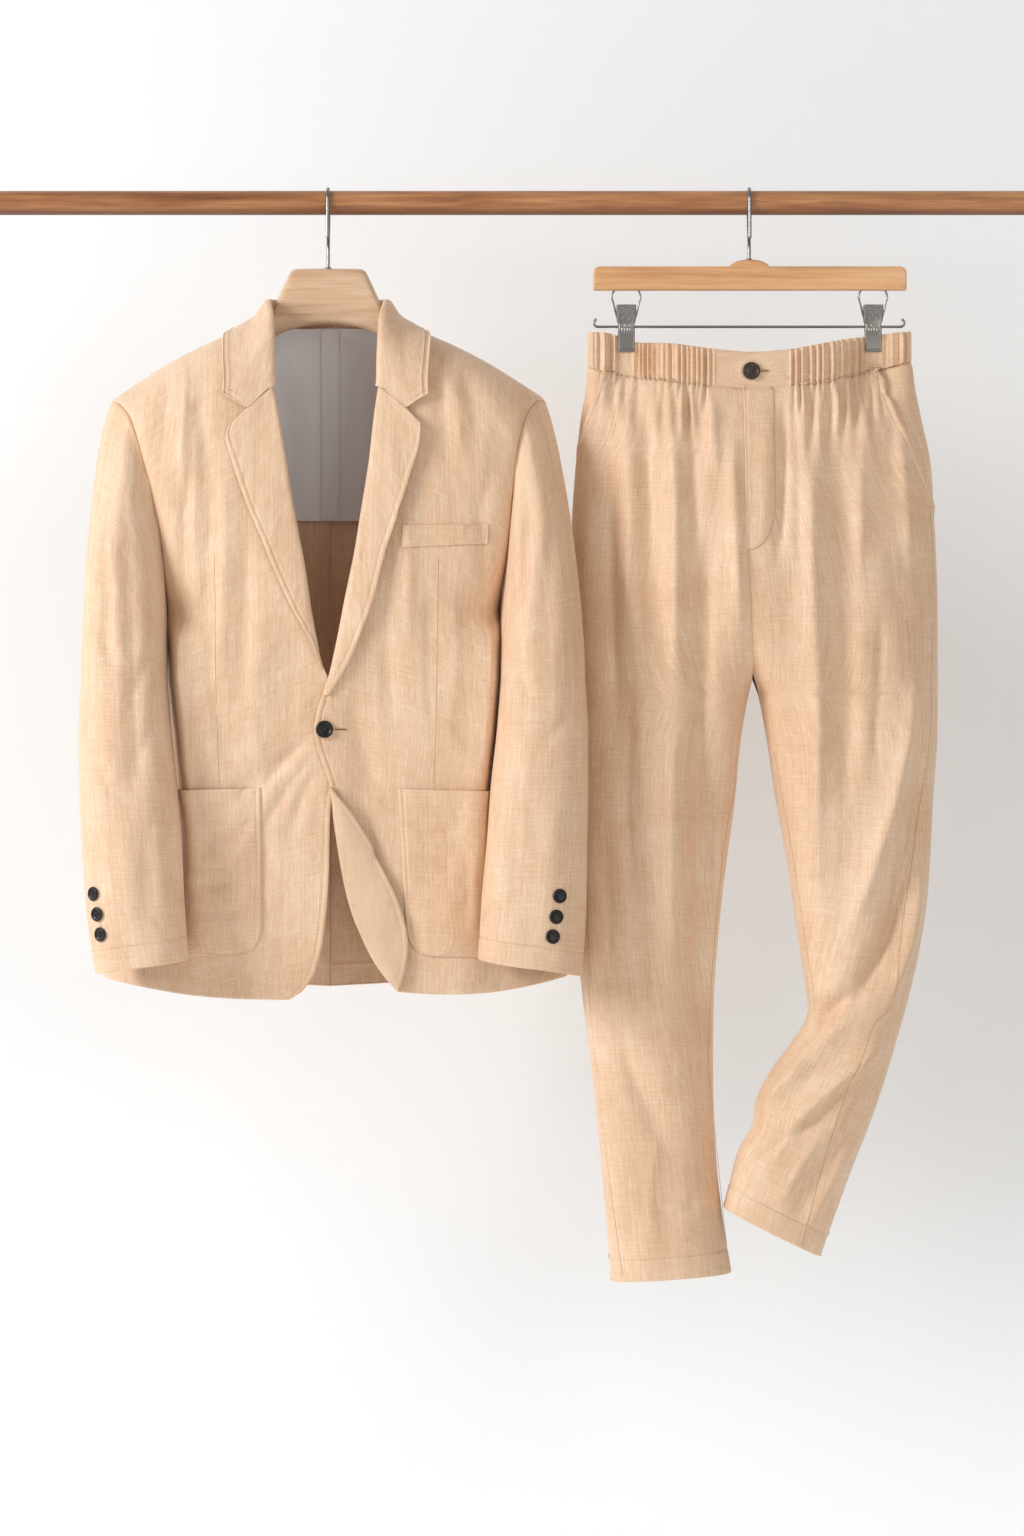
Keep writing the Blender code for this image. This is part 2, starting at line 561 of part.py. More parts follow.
def hanger_arm(side):
    """Stations of one arm, its top held just under the shoulder cloth and its tip a little smaller."""
    share = (HANGER_ARM - HANGER_ARM[0]) / (HANGER_ARM[-1] - HANGER_ARM[0])
    size = np.where(share < 1, 1.0, 0.8)
    top = ridge(side, HANGER_ARM) + HANGER_CLEAR
    half = (15.5 + 4.5 * np.sin(1.7 * np.minimum(share, 0.85))) * size
    return np.stack([HANGER_ARM, top, top + HANGER_ARM_TALL * size, half], axis=-1)


def jacket_hanger():
    """Contoured hanger: one loft from arm tip to arm tip."""
    angles = np.linspace(0, 2 * np.pi, 12, endpoint=False)
    neck = np.stack([HANGER_ROWS[k] for k in ("a", "top", "bottom", "half")], axis=-1)
    rings = {}
    for side in (RIGHT, LEFT):
        for a, top, bottom, half in np.concatenate([neck, hanger_arm(side)]):
            middle, tall = (top + bottom) / 2, (bottom - top) / 2
            ring = [np.full(len(angles), a), half * np.cos(angles), middle + tall * np.sin(angles)]
            rings[side * a] = world(np.stack(ring, axis=-1), JACKET_X, side)
    return loft("jacket_hanger", [rings[key] for key in sorted(rings)], HANGER_WOOD)


def trouser_bar():
    """Straight wooden bar with rounded top corners and a low boss for the hook."""
    left, right, corner = -167.0, 162.0, 7.0
    high = -BAR_TOP - 7.0
    low = high - BAR_TALL
    turn = np.linspace(0, math.pi / 2, 5)
    half_turn = np.linspace(0, math.pi, 9)
    outline = [(left, low), (right, low)]
    outline += [(right - corner + corner * math.cos(t), high - corner + corner * math.sin(t)) for t in turn]
    outline += [(-3 + 16 * math.cos(t), high + 7 * math.sin(t)) for t in half_turn]
    outline += [(left + corner - corner * math.sin(t), high - corner + corner * math.cos(t)) for t in turn]
    return outline_plate("trouser_hanger_bar", outline, BAR_THICK, (TROUSERS_X * MM, 0, 0), BAR_WOOD)


def clip_rod():
    """Thin steel rod that carries both clips, its ends curled up."""
    left, right = -162.0, 156.0
    curl = [(4 * math.sin(t), 4 - 4 * math.cos(t)) for t in np.linspace(0, 2.6, 5)]
    path = [(left - x, up) for x, up in curl[::-1]] + [(a, 0) for a in (left + 8, right - 8)]
    path += [(right + x, up) for x, up in curl]
    points = [((TROUSERS_X + a) * MM, 0, (up - CLIP_ROD_DROP) * MM) for a, up in path]
    return wire("clip_rod", points, CLIP_ROD, STEEL)


def cylinder_mesh(name, radius, length, sides):
    """A closed cylinder along X."""
    mesh = bpy.data.meshes.new(name)
    shape = bmesh.new()
    bmesh.ops.create_cone(shape, cap_ends=True, segments=sides, radius1=radius * MM, radius2=radius * MM,
                          depth=length * MM, matrix=Matrix.Rotation(math.pi / 2, 4, "Y"))
    shape.to_mesh(mesh)
    shape.free()
    return mesh


def clip_jaws(label, x):
    for face, end in ((1, "front"), (-1, "back")):
        grid = []
        for y, d in CLIP_JAW:
            wide = CLIP_WIDTH / 2 * (1.08 if d < CLIP_ROD_DROP else 0.93)
            crown = 0.8 if d < CLIP_ROD_DROP else 0.0
            grid.append([(x - wide, face * y, -d), (x, face * (y - crown), -d), (x + wide, face * y, -d)])
        sheet(f"clip_{label}_{end}", np.array(grid) * MM, (0, -face, 0), STEEL, wall=1.0)


def clip_roll(label, x):
    """The jaws' hinge roll, bored for the rod."""
    at = (x * MM, 0, -CLIP_ROD_DROP * MM)
    mesh = cylinder_mesh(f"clip_{label}_roll", CLIP_ROLL / 2, CLIP_WIDTH - 3, 16)
    body = place(bpy.data.objects.new(mesh.name, mesh), STEEL)
    body.location = at
    mesh = cylinder_mesh(f"clip_{label}_bore", CLIP_ROD / 2 + SEAM + 0.1, CLIP_WIDTH * 1.5, 12)
    cutter = bpy.data.objects.new(mesh.name, mesh)
    cutter.location = at
    cutter.hide_render = True
    cutter.display_type = "WIRE"
    GUIDES.objects.link(cutter)
    cut = body.modifiers.new("bore", "BOOLEAN")
    cut.operation = "DIFFERENCE"
    cut.object = cutter
    body.data.shade_smooth()
    body.data.set_sharp_from_angle(angle=math.radians(40))


def clip(label, a):
    """Two sprung jaws on a roll round the rod, hung from the bar by a wire loop."""
    x = TROUSERS_X + a
    clip_jaws(label, x)
    clip_roll(label, x)
    low = CLIP_ROD_DROP - CLIP_ROLL / 2 - LOOP_WIRE / 2 - SEAM
    high = BAR_TOP + BAR_TALL + 7 + SEAM
    half = [(13, high), (14.8, high + 6), (13.6, high + 12.5), (8, low - 2), (4.5, low)]
    route = [(-w, d) for w, d in half] + half[::-1]
    path = [((x + w) * MM, 0, -d * MM) for w, d in route]
    wire(f"clip_{label}_loop", path, LOOP_WIRE, STEEL, resolution=1)


# Blazer


def quarter(count):
    """Shares from 0 to 1, closer together towards 1."""
    return np.sin(np.append(np.linspace(0, 0.94, count - 1), 1.0) * np.pi / 2)


def jacket_fronts():
    shares = quarter(11)
    for side in (RIGHT, LEFT):
        a, d = rows_between(FRONT_ROWS[side], shares)
        y = front_y(side, a, d) - RIM
        grid = world(np.stack([a, y, d], axis=-1), JACKET_X, side)
        sheet(f"jacket_front_{SIDE_NAMES[side]}", grid, (0, -1, 0), LINEN)


def front_neck(side):
    """Sideways place of the shoulder line's neck end."""
    return FRONT_ROWS[side]["in_a"][0]


def back_rows(side):
    """Rows of a back panel: the centre-back seam (in) and the shoulder, armhole and side seam (out)."""
    front = FRONT_ROWS[side]
    keep = np.r_[0:14, 15, len(front["out_a"]) - 1]
    out_a, out_d = front["out_a"][keep], front["out_d"][keep]
    centre = smooth(out_d, np.array([205, 300, 428, 811]), np.array([NAPE, 270, 428, 825]))
    return {"in_a": np.full(len(keep), CENTRE_BACK), "in_d": centre, "out_a": out_a, "out_d": out_d}


def jacket_backs():
    shares = quarter(10)
    for side in (RIGHT, LEFT):
        rows = back_rows(side)
        a, d = rows_between(rows, shares)
        neck = front_neck(side)
        nape = NAPE + (ridge(side, neck) - NAPE) * (a[0] / neck) ** 3
        top = np.where(a[0] < neck, nape, ridge(side, a[0]))
        chord = d[0].copy()
        d = d + (1 - smoothstep((d - chord) / 170.0)) * (top - chord)
        y = back_y(side, a, d) + RIM
        grid = world(np.stack([a, y, d], axis=-1), JACKET_X, side)
        sheet(f"jacket_back_{SIDE_NAMES[side]}", grid, (0, 1, 0), LINEN)


def armhole(side, face):
    """Points on the armhole seam from the shoulder tip to the armpit, in front (-1) or behind (1)."""
    rows = FRONT_ROWS[side]
    a, d = rows["out_a"][:ARMHOLE_ROWS], rows["out_d"][:ARMHOLE_ROWS]
    y = (front_y if face < 0 else back_y)(side, a, d)
    clear = ARMHOLE_GAP + ARMPIT_GAP * np.linspace(0, 1, ARMHOLE_ROWS) ** 4
    return np.stack([a + clear, y, d], axis=-1)


def sleeve_ring(side, d, q, face):
    """Point of the sleeve below the head at level d, q from outside (0) to inside (1)."""
    rings = SLEEVE_RINGS[side]
    inner_a, outer_a = (smooth(d, rings["in_d"], rings[k]) for k in ("in_a", "out_a"))
    last = rings["out_d"][-1] - rings["in_d"][-1]
    slant = last * smoothstep((d - 690) / 110)
    angle = np.pi * q
    middle, width = (inner_a + outer_a) / 2, (outer_a - inner_a) / 2
    y, half = (smooth(d, rings["in_d"], rings[k]) for k in ("y", "half"))
    return np.stack([middle + width * np.cos(angle), y + face * half * np.sin(angle),
                     d + slant * (0.5 + 0.5 * np.cos(angle))], axis=-1)


def sleeve_half(side, face):
    """Grid of one half of a sleeve: from the armhole over the head, then ring by ring to the cuff."""
    q = np.linspace(0, 1, ARMHOLE_ROWS)
    start, end = armhole(side, face), sleeve_ring(side, HEAD_FOOT, q, face)
    drop = HEAD_FOOT - start[:, 2]
    across = HEAD_SPREAD * np.cos(np.pi * q / 2) ** 2
    forward = (0.7 - 0.4 * q**3) * (end[:, 1] - start[:, 1])
    leave = np.stack([across, forward, (0.3 + 0.5 * q**3) * drop], axis=-1)
    arrive = np.stack([0 * q, 0 * q, 0.85 * drop], axis=-1)
    head = [start * ((1 + 2 * t) * (1 - t) ** 2) + leave * (t * (1 - t) ** 2)
            + end * (t * t * (3 - 2 * t)) + arrive * (t * t * (t - 1)) for t in HEAD_LEVELS]
    grid = np.array(head + [sleeve_ring(side, d, q, face) for d in SLEEVE_LEVELS])
    if face < 0:
        fold = folds(SLEEVE_FOLDS, q[None, :] * SLEEVE_ROUND + 0 * grid[..., 2], grid[..., 2])
        grid[..., 1] -= fold * np.sin(np.pi * q)
    armpit = q**6 * np.exp(-(((grid[..., 2] - 440) / 30) ** 2))
    grid[..., 1] += face * (SLEEVE_RIM + ARMPIT_RIM * armpit)
    return grid


def sleeves():
    for side in (RIGHT, LEFT):
        for face, part in ((-1, "upper"), (1, "under")):
            grid = world(sleeve_half(side, face), JACKET_X, side)
            sheet(f"sleeve_{part}_{SIDE_NAMES[side]}", grid, (0, face, 0), LINEN)


def on_sheet(grid, a, d):
    """Point and outward normal where the facets of a front-facing grid pass (a, d)."""
    corners = np.stack([grid[:-1, :-1], grid[:-1, 1:], grid[1:, 1:], grid[1:, :-1]], axis=2)
    for quad in corners.reshape(-1, 4, 3):
        for three in ((0, 1, 2), (0, 2, 3)):
            p, u, v = quad[three[0]], quad[three[1]] - quad[three[0]], quad[three[2]] - quad[three[0]]
            area = u[0] * v[2] - u[2] * v[0]
            if abs(area) < 1e-9:
                continue
            s = ((a - p[0]) * v[2] - (d - p[2]) * v[0]) / area
            t = (u[0] * (d - p[2]) - u[2] * (a - p[0])) / area
            if s >= 0 and t >= 0 and s + t <= 1:
                normal = np.cross(u, v)
                normal = normal * -np.sign(normal[1]) / np.linalg.norm(normal)
                return p + s * u + t * v, normal
    raise ValueError("the grid does not pass this place")


def collar():
    """Stand and fall in one strip round the neck, folded at the roll."""
    rows = COLLAR_ROWS
    rails = {k: np.stack([rows[f"{k}_a"], rows[f"{k}_y"], rows[f"{k}_d"]], axis=-1)
             for k in ("seam", "roll", "mid", "edge")}
    for k, height in (("mid", 4.6), ("edge", 4.2)):
        for mark, depth, face in ((ON_FRONT, front_y, -1), (ON_BACK, back_y, 1)):
            flat = rows[f"{k}_y"] == mark
            rails[k][flat] = lifted(depth, RIGHT, rows[f"{k}_a"][flat], rows[f"{k}_d"][flat], height, face)
    out = rails["mid"] - rails["seam"]
    out[:, 2] = 0
    out = out / np.linalg.norm(out, axis=1, keepdims=True)
    down_in, down_out = (rails[k] - rails["roll"] for k in ("seam", "mid"))
    down_in, down_out = (v / np.linalg.norm(v, axis=1, keepdims=True) for v in (down_in, down_out))
    inside = rails["roll"] - 2.6 * out + 2.5 * down_in
    outside = rails["roll"] + 2.6 * out + 2.5 * down_out
    upper = (outside + rails["mid"]) / 2
    lines = [rails["seam"], inside, rails["roll"], outside, upper, rails["mid"], rails["edge"]]
    strip = np.stack(lines, axis=1)
    left = world(strip, JACKET_X, LEFT)
    right = world(strip, JACKET_X, RIGHT)
    grid = np.concatenate([right[::-1][:-1], left])
    sheet("collar", grid, (0, 0, 1), LINEN)


def lapels():
    for side in (RIGHT, LEFT):
        rows = LAPEL_ROWS[side]
        u = np.linspace(0, 1, 6)[None, :]
        keys = [(1 - u) * (1 - 2 * u), 4 * u * (1 - u), u * (2 * u - 1)]
        a = sum(k * rows[f"{c}_a"][:, None] for k, c in zip(keys, ("in", "mid", "out")))
        d = sum(k * rows[f"{c}_d"][:, None] for k, c in zip(keys, ("in", "mid", "out")))
        puff = 0.4 + 1.8 * np.sin(np.pi * (0.15 + 0.85 * u)) * (1 - 0.4 * u)
        taper = smooth(rows["in_d"], np.array([199, 420, 519]), np.array([1.0, 0.8, 0.35]))[:, None]
        height = CLOTH + SEAM + 0.5 + puff * taper
        points = lifted(front_y, side, a, d, height, -1)
        sheet(f"lapel_{SIDE_NAMES[side]}", world(points, JACKET_X, side), (0, -1, 0), LINEN)


def turned_back_edge():
    """Lower left front edge folded outwards over the front, inside out."""
    u = np.linspace(0, 1, 6)[None, :]
    rows = FACING_ROWS
    a = rows["in_a"][:, None] * (1 - u) + rows["out_a"][:, None] * u
    d = rows["in_d"][:, None] * (1 - u) + rows["out_d"][:, None] * u
    height = CLOTH + SEAM + 0.6 + 3.3 * u + 1.5 * np.sin(np.pi * u)
    points = lifted(front_y, LEFT, a, d, height, -1)
    sheet("turned_back_edge", world(points, JACKET_X, LEFT), (0, -1, 0), LINEN_INSIDE)


def pockets():
    for side in (RIGHT, LEFT):
        size = POCKETS[side]
        top, bottom, corner = size["top"], size["bottom"], size["corner"]
        down = np.concatenate([np.linspace(top, bottom - corner, 5),
                               bottom - corner + corner * np.sin(np.linspace(0, np.pi / 2, 5))[1:]])
        into = np.clip((down - (bottom - corner)) / corner, 0, 1)
        inset = corner * (1 - np.sqrt(1 - into**2)) * 0.93
        inner = smooth(down, np.array([top, bottom]), np.array([size["in_top"], size["in_bottom"]])) + inset
        outer = size["out"] - inset
        u = np.linspace(0, 1, 9)[None, :]
        a = inner[:, None] * (1 - u) + outer[:, None] * u
        d = np.repeat(down[:, None], 9, axis=1)
        points = lifted(front_y, side, a, d, POCKET_LIFT, -1)
        sheet(f"pocket_{SIDE_NAMES[side]}", world(points, JACKET_X, side), (0, -1, 0), LINEN, wall=1.5)


def chest_welt():
    u = np.linspace(0, 1, 8)[None, :]
    v = np.linspace(0, 1, 3)[:, None]
    a = WELT["in_a"] + (WELT["out_a"] - WELT["in_a"]) * u - 1.0 * v
    d = WELT["in_d"] + (WELT["out_d"] - WELT["in_d"]) * u + WELT["height"] * v
    points = lifted(front_y, LEFT, a, d, CLOTH + SEAM, -1)
    sheet("chest_welt", world(points, JACKET_X, LEFT), (0, -1, 0), LINEN, wall=1.5)


def nape_lining():
    """Light half lining inside the upper back, with a tape down its middle."""
    shares = np.linspace(-1, 1, 11)
    a = np.repeat(shares[None, :] * 110, 7, axis=0)
    top = 124.5 + 46 * smoothstep((np.abs(a[0]) - 50) / 62)
    d = top[None, :] + (330 - top[None, :]) * np.linspace(0, 1, 7)[:, None]
    inward = CLOTH + SEAM + 2.15
    points = np.empty((*a.shape, 3))
    for side in (RIGHT, LEFT):
        mine = (a * side) >= 0
        lift = lifted(back_y, side, np.abs(a), d, -inward, 1)
        points[mine] = world(lift, JACKET_X, side)[mine]
    sheet("nape_lining", points, (0, 1, 0), LINING, wall=1.0)
    tape_a = np.repeat(np.linspace(0, 1, 2)[None, :], 7, axis=0) * 9.5
    rows = np.linspace(124.5, 329, 7)[:, None] + 0 * tape_a
    halves = [world(lifted(back_y, side, tape_a, rows, -(inward + 2.5 + SEAM), 1), JACKET_X, side)
              for side in (RIGHT, LEFT)]
    grid = np.concatenate([halves[0][:, ::-1][:, :-1], halves[1]], axis=1)
    sheet("nape_tape", grid, (0, 1, 0), LINING, wall=1.0)


def jacket_buttons():
    a, d = FRONT_BUTTON_AT
    surface = lifted(front_y, LEFT, np.array(a), np.array(d), 0.85, -1)
    turned_button("front_button", FRONT_BUTTON, world(surface, JACKET_X, LEFT), (0, -1, 0))
    for side in (RIGHT, LEFT):
        grid = sleeve_half(side, -1)
        for number, (a, d) in enumerate(CUFF_BUTTONS[side], start=1):
            surface, normal = on_sheet(grid, a, d)
            turned_button(f"cuff_button_{SIDE_NAMES[side]}_{number}", CUFF_BUTTON,
                          world(surface + normal * CUFF_BUTTON_LIFT, JACKET_X, side),
                          (side * normal[0], normal[1], -normal[2]))


# Trousers


def nip(a, d):
    """1 where a clip presses the band flat, fading below it."""
    near = sum(np.exp(-(((a - at) / NIP_REACH) ** 4)) for at in CLIP_A)
    return near * (1 - smoothstep((d - 172) / 95))


def leg_point(side, level, x, face):
    """Point of a leg at a row level (a share of the table) and x from -closure to 1 round the section."""
    rows = LEG_ROWS[side]
    index = np.arange(len(rows["in_a"]), dtype=float)
    at = {k: smooth(level, index, rows[k]) for k in rows}
    depth = at["front"] if face < 0 else at["back"]
    t = (x + at["closure"]) / (1 + at["closure"])
    a = at["in_a"] + (at["out_a"] - at["in_a"]) * t
    d = at["in_d"] + (at["out_d"] - at["in_d"]) * t
    round_ = np.maximum(1 - np.abs(x) ** LEG_SQUARE, 0) ** (1 / LEG_SQUARE)
    outer = smoothstep((t - 0.2) / 0.8)
    middle = at["out_y"] * (outer + (1 - outer) * smoothstep((level - TURNED_FROM) / 4))
    y = middle + face * depth * round_
    pressed = nip(side * a, d)
    y = y * (1 - pressed) + face * (CLIP_NIP + 0.5) * pressed
    y = y + face * folds(LEG_FOLDS[side, "front" if face < 0 else "back"], a, d) * (
        smoothstep((1 - np.abs(x)) / 0.3) * (1 - pressed))
    if level < 1:
        d = d + (1 - level) * (smooth(side * a, BAND["a"], BAND["bottom"]) + SEAM - d)
    return np.stack([a, y + face * LEG_RIM, d], axis=-1)


def leg_steps(count, limit, closure):
    """Places round a section from its inner end (-closure) to the limit, closer together at the seams."""
    first = -math.asin(closure ** (LEG_SQUARE / 2))
    last = math.asin(limit ** (LEG_SQUARE / 2))
    turn = np.linspace(first, last, count)
    if closure > 0:
        turn[1] = first + (turn[1] - first) * 0.5
    if limit == 1.0:
        turn[-2] = last - (last - turn[-2]) * 0.5
    return np.clip(np.sign(turn) * np.abs(np.sin(turn)) ** (2 / LEG_SQUARE), -1, 1)


def leg_levels(side):
    """Rows of a leg, with one more at the foot of the slant pocket; returns them and that row's place."""
    out_d = LEG_ROWS[side]["out_d"]
    foot = float(np.interp(POCKET_CUT[side]["level"][-1], out_d, np.arange(len(out_d))))
    levels = sorted([float(i) for i in range(len(out_d))] + [foot])
    return levels, levels.index(foot)


def pocket_reach(side, level):
    """How far round the front goes at a row of the slant pocket."""
    rows, cut = LEG_ROWS[side], POCKET_CUT[side]
    d = np.interp(level, np.arange(len(rows["out_d"])), rows["out_d"])
    return float(smooth(d, cut["level"], cut["reach"]))


def legs():
    """Fronts and backs of the legs, each in its stretches from the band to the hem."""
    for side in (RIGHT, LEFT):
        levels, foot = leg_levels(side)
        ends = [-1] + LEG_PARTINGS[side] + [len(levels)]
        for label, first, last in zip(LEG_STRETCHES, ends[:-1], ends[1:]):
            stretch = [level for level in levels if first < level < last]
            stretch = [first + PARTING] * (first in levels) + stretch + [last - PARTING] * (last in levels)
            closing = LEG_ROWS[side]["closure"]
            closure = np.interp(stretch, np.arange(len(closing)), closing)
            for face, part, count in ((-1, "front", 12), (1, "back", 10)):
                grid = []
                for i, level in enumerate(stretch):
                    reach = pocket_reach(side, level) if face < 0 and level <= levels[foot] else 1.0
                    grid.append(leg_point(side, level, leg_steps(count, reach, closure[i]), face))
                points = world(np.array(grid), TROUSERS_X, side)
                sheet(f"trouser_{label}{part}_{SIDE_NAMES[side]}", points, (0, face, 0), LINEN)


def hip_pieces():
    """Piece in each slant pocket's mouth, from the front's cut edge to the outseam."""
    for side in (RIGHT, LEFT):
        levels, foot = leg_levels(side)
        grid = []
        for level in levels[:foot + 1]:
            reach = pocket_reach(side, level) + HIP_SEAM
            x = reach + (1 - reach) * np.sin(np.linspace(0, np.pi / 2, 6))
            grid.append(leg_point(side, level, x, -1))
        sheet(f"hip_piece_{SIDE_NAMES[side]}", world(np.array(grid), TROUSERS_X, side), (side, -1, 0), LINEN)


def band_columns():
    """Sideways places across the waistband, close together where the elastic gathers it."""
    elastic_right = np.arange(-171.0, -ELASTIC_FROM, GATHER)
    plain = np.linspace(-ELASTIC_FROM + 2, ELASTIC_FROM - 2, 7)
    elastic_left = np.arange(ELASTIC_FROM, 166.0, GATHER)
    return np.concatenate([elastic_right, plain, elastic_left])


def band_point(a, share, face):
    """Waistband's outer face: share 0 at its top edge, 1 at the seam, gathers as even waves of depth."""
    top, bottom = (smooth(a, BAND["a"], BAND[k]) for k in ("top", "bottom"))
    d = top + (bottom - top) * share
    half = np.where(a < 0, 173.0, 168.0)
    x = np.clip(np.abs(a) / half, 0, 1)
    depth = BAND_DEPTH["front" if face < 0 else "back"]
    y = face * depth * (1 - x**LEG_SQUARE) ** (1 / LEG_SQUARE)
    pressed = nip(a, np.full_like(a, 150.0))
    y = y * (1 - pressed) + face * CLIP_NIP * pressed
    wave = np.where(np.arange(len(a)) % 2 == 0, 1.0, -1.0) * GATHER_DEPTH
    wave = wave * (np.abs(a) > ELASTIC_FROM) * (1 - pressed) * (0.75 + 0.25 * np.sin(a * 0.21))
    y = y + face * (wave - GATHER_DEPTH * 0.2) + face * RIM
    return np.stack([a, y, d - SEAM * 1.5 * (share == 1)], axis=-1)


def waistband():
    a = band_columns()
    for face, part in ((-1, "front"), (1, "back")):
        grid = np.array([band_point(a, share, face) for share in (0.0, 1.0)])
        sheet(f"waistband_{part}", world(grid, TROUSERS_X, LEFT), (0, face, 0), LINEN, wall=BAND_CLOTH)


def fly():
    """Fly placket on the left front: straight edge at the centre, J curve at its foot."""
    d = np.array([199, 230, 265, 300, 325, 340, 352, 361, 366.5])
    outer = smooth(d, np.array([199, 325, 345, 358, 366.5]), np.array([21.5, 21.5, 18, 12.5, 5]))
    u = np.linspace(0, 1, 4)[None, :]
    a = -12.2 + (outer[:, None] + 12.2) * u
    level = np.interp(d, LEG_ROWS[LEFT]["in_d"], np.arange(len(LEG_ROWS[LEFT]["in_d"])))
    grid = []
    for k, row in zip(level, a):
        rows = LEG_ROWS[LEFT]
        index = np.arange(len(rows["in_a"]), dtype=float)
        start, end = smooth(k, index, rows["in_a"]), smooth(k, index, rows["out_a"])
        closure = smooth(k, index, rows["closure"])
        x = (row - start) / (end - start) * (1 + closure) - closure
        point = leg_point(LEFT, float(k), x, -1)
        point[:, 1] -= CLOTH + SEAM + 0.5
        grid.append(point)
    sheet("fly", world(np.array(grid), TROUSERS_X, LEFT), (0, -1, 0), LINEN, wall=1.4)


def waist_button():
    a, d = WAIST_BUTTON_AT
    y = band_point(np.array([a, a + 9]), 0.5, -1)[0][1] - 0.5
    turned_button("waist_button", WAIST_BUTTON, world((a, y, d), TROUSERS_X, LEFT), (0, -1, 0))


for old in list(bpy.data.objects):
    bpy.data.objects.remove(old, do_unlink=True)
SUIT = bpy.data.collections.new("two_piece_suit")
GUIDES = bpy.data.collections.new("guides")
bpy.context.scene.collection.children.link(SUIT)
bpy.context.scene.collection.children.link(GUIDES)

rod()
hook("jacket_hook", JACKET_X, JACKET_HANGER_TOP)
hook("trouser_hook", TROUSERS_X - 3.0, BAR_TOP)
jacket_hanger()
trouser_bar()
clip_rod()
clip("right", CLIP_A[0])
clip("left", CLIP_A[1])
jacket_fronts()
jacket_backs()
sleeves()
collar()
lapels()
turned_back_edge()
pockets()
chest_welt()
nape_lining()
jacket_buttons()
legs()
hip_pieces()
waistband()
fly()
waist_button()
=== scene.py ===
import math

import bmesh
import bpy
import numpy as np
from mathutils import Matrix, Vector


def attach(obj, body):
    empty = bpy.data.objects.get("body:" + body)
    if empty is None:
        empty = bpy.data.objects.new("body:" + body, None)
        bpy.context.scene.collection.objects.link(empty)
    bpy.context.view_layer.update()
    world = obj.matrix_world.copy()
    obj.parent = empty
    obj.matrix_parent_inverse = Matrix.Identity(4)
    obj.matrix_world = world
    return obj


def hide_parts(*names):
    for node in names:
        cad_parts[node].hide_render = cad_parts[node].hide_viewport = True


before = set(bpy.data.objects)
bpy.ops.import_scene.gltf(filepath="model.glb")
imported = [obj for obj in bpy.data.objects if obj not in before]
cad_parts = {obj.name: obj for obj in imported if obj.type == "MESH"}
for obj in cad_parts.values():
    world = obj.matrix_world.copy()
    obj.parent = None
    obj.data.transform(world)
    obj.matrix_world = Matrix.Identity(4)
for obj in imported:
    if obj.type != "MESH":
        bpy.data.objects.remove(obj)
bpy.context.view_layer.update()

# Room and light: a plain white wall behind, a pale floor below, one large soft light from the front left and
# a weaker one from the right. The wall is seen from its front only, so the suit can be looked at from behind.

LEVEL_EYE = 0.59325
EYE_AWAY = 5.0
FRAME_HIGH = 1.6128

scene = bpy.context.scene
scene.view_settings.view_transform = "Standard"
scene.view_settings.look = "None"

eye = bpy.data.cameras.new("eye")
eye.sensor_width = 36.0
eye.lens = eye.sensor_width * EYE_AWAY / FRAME_HIGH
camera = bpy.data.objects.new("eye", eye)
camera.location = (0.0, -EYE_AWAY, -LEVEL_EYE)
camera.rotation_euler = (math.pi / 2, 0.0, 0.0)
scene.collection.objects.link(camera)
scene.camera = camera


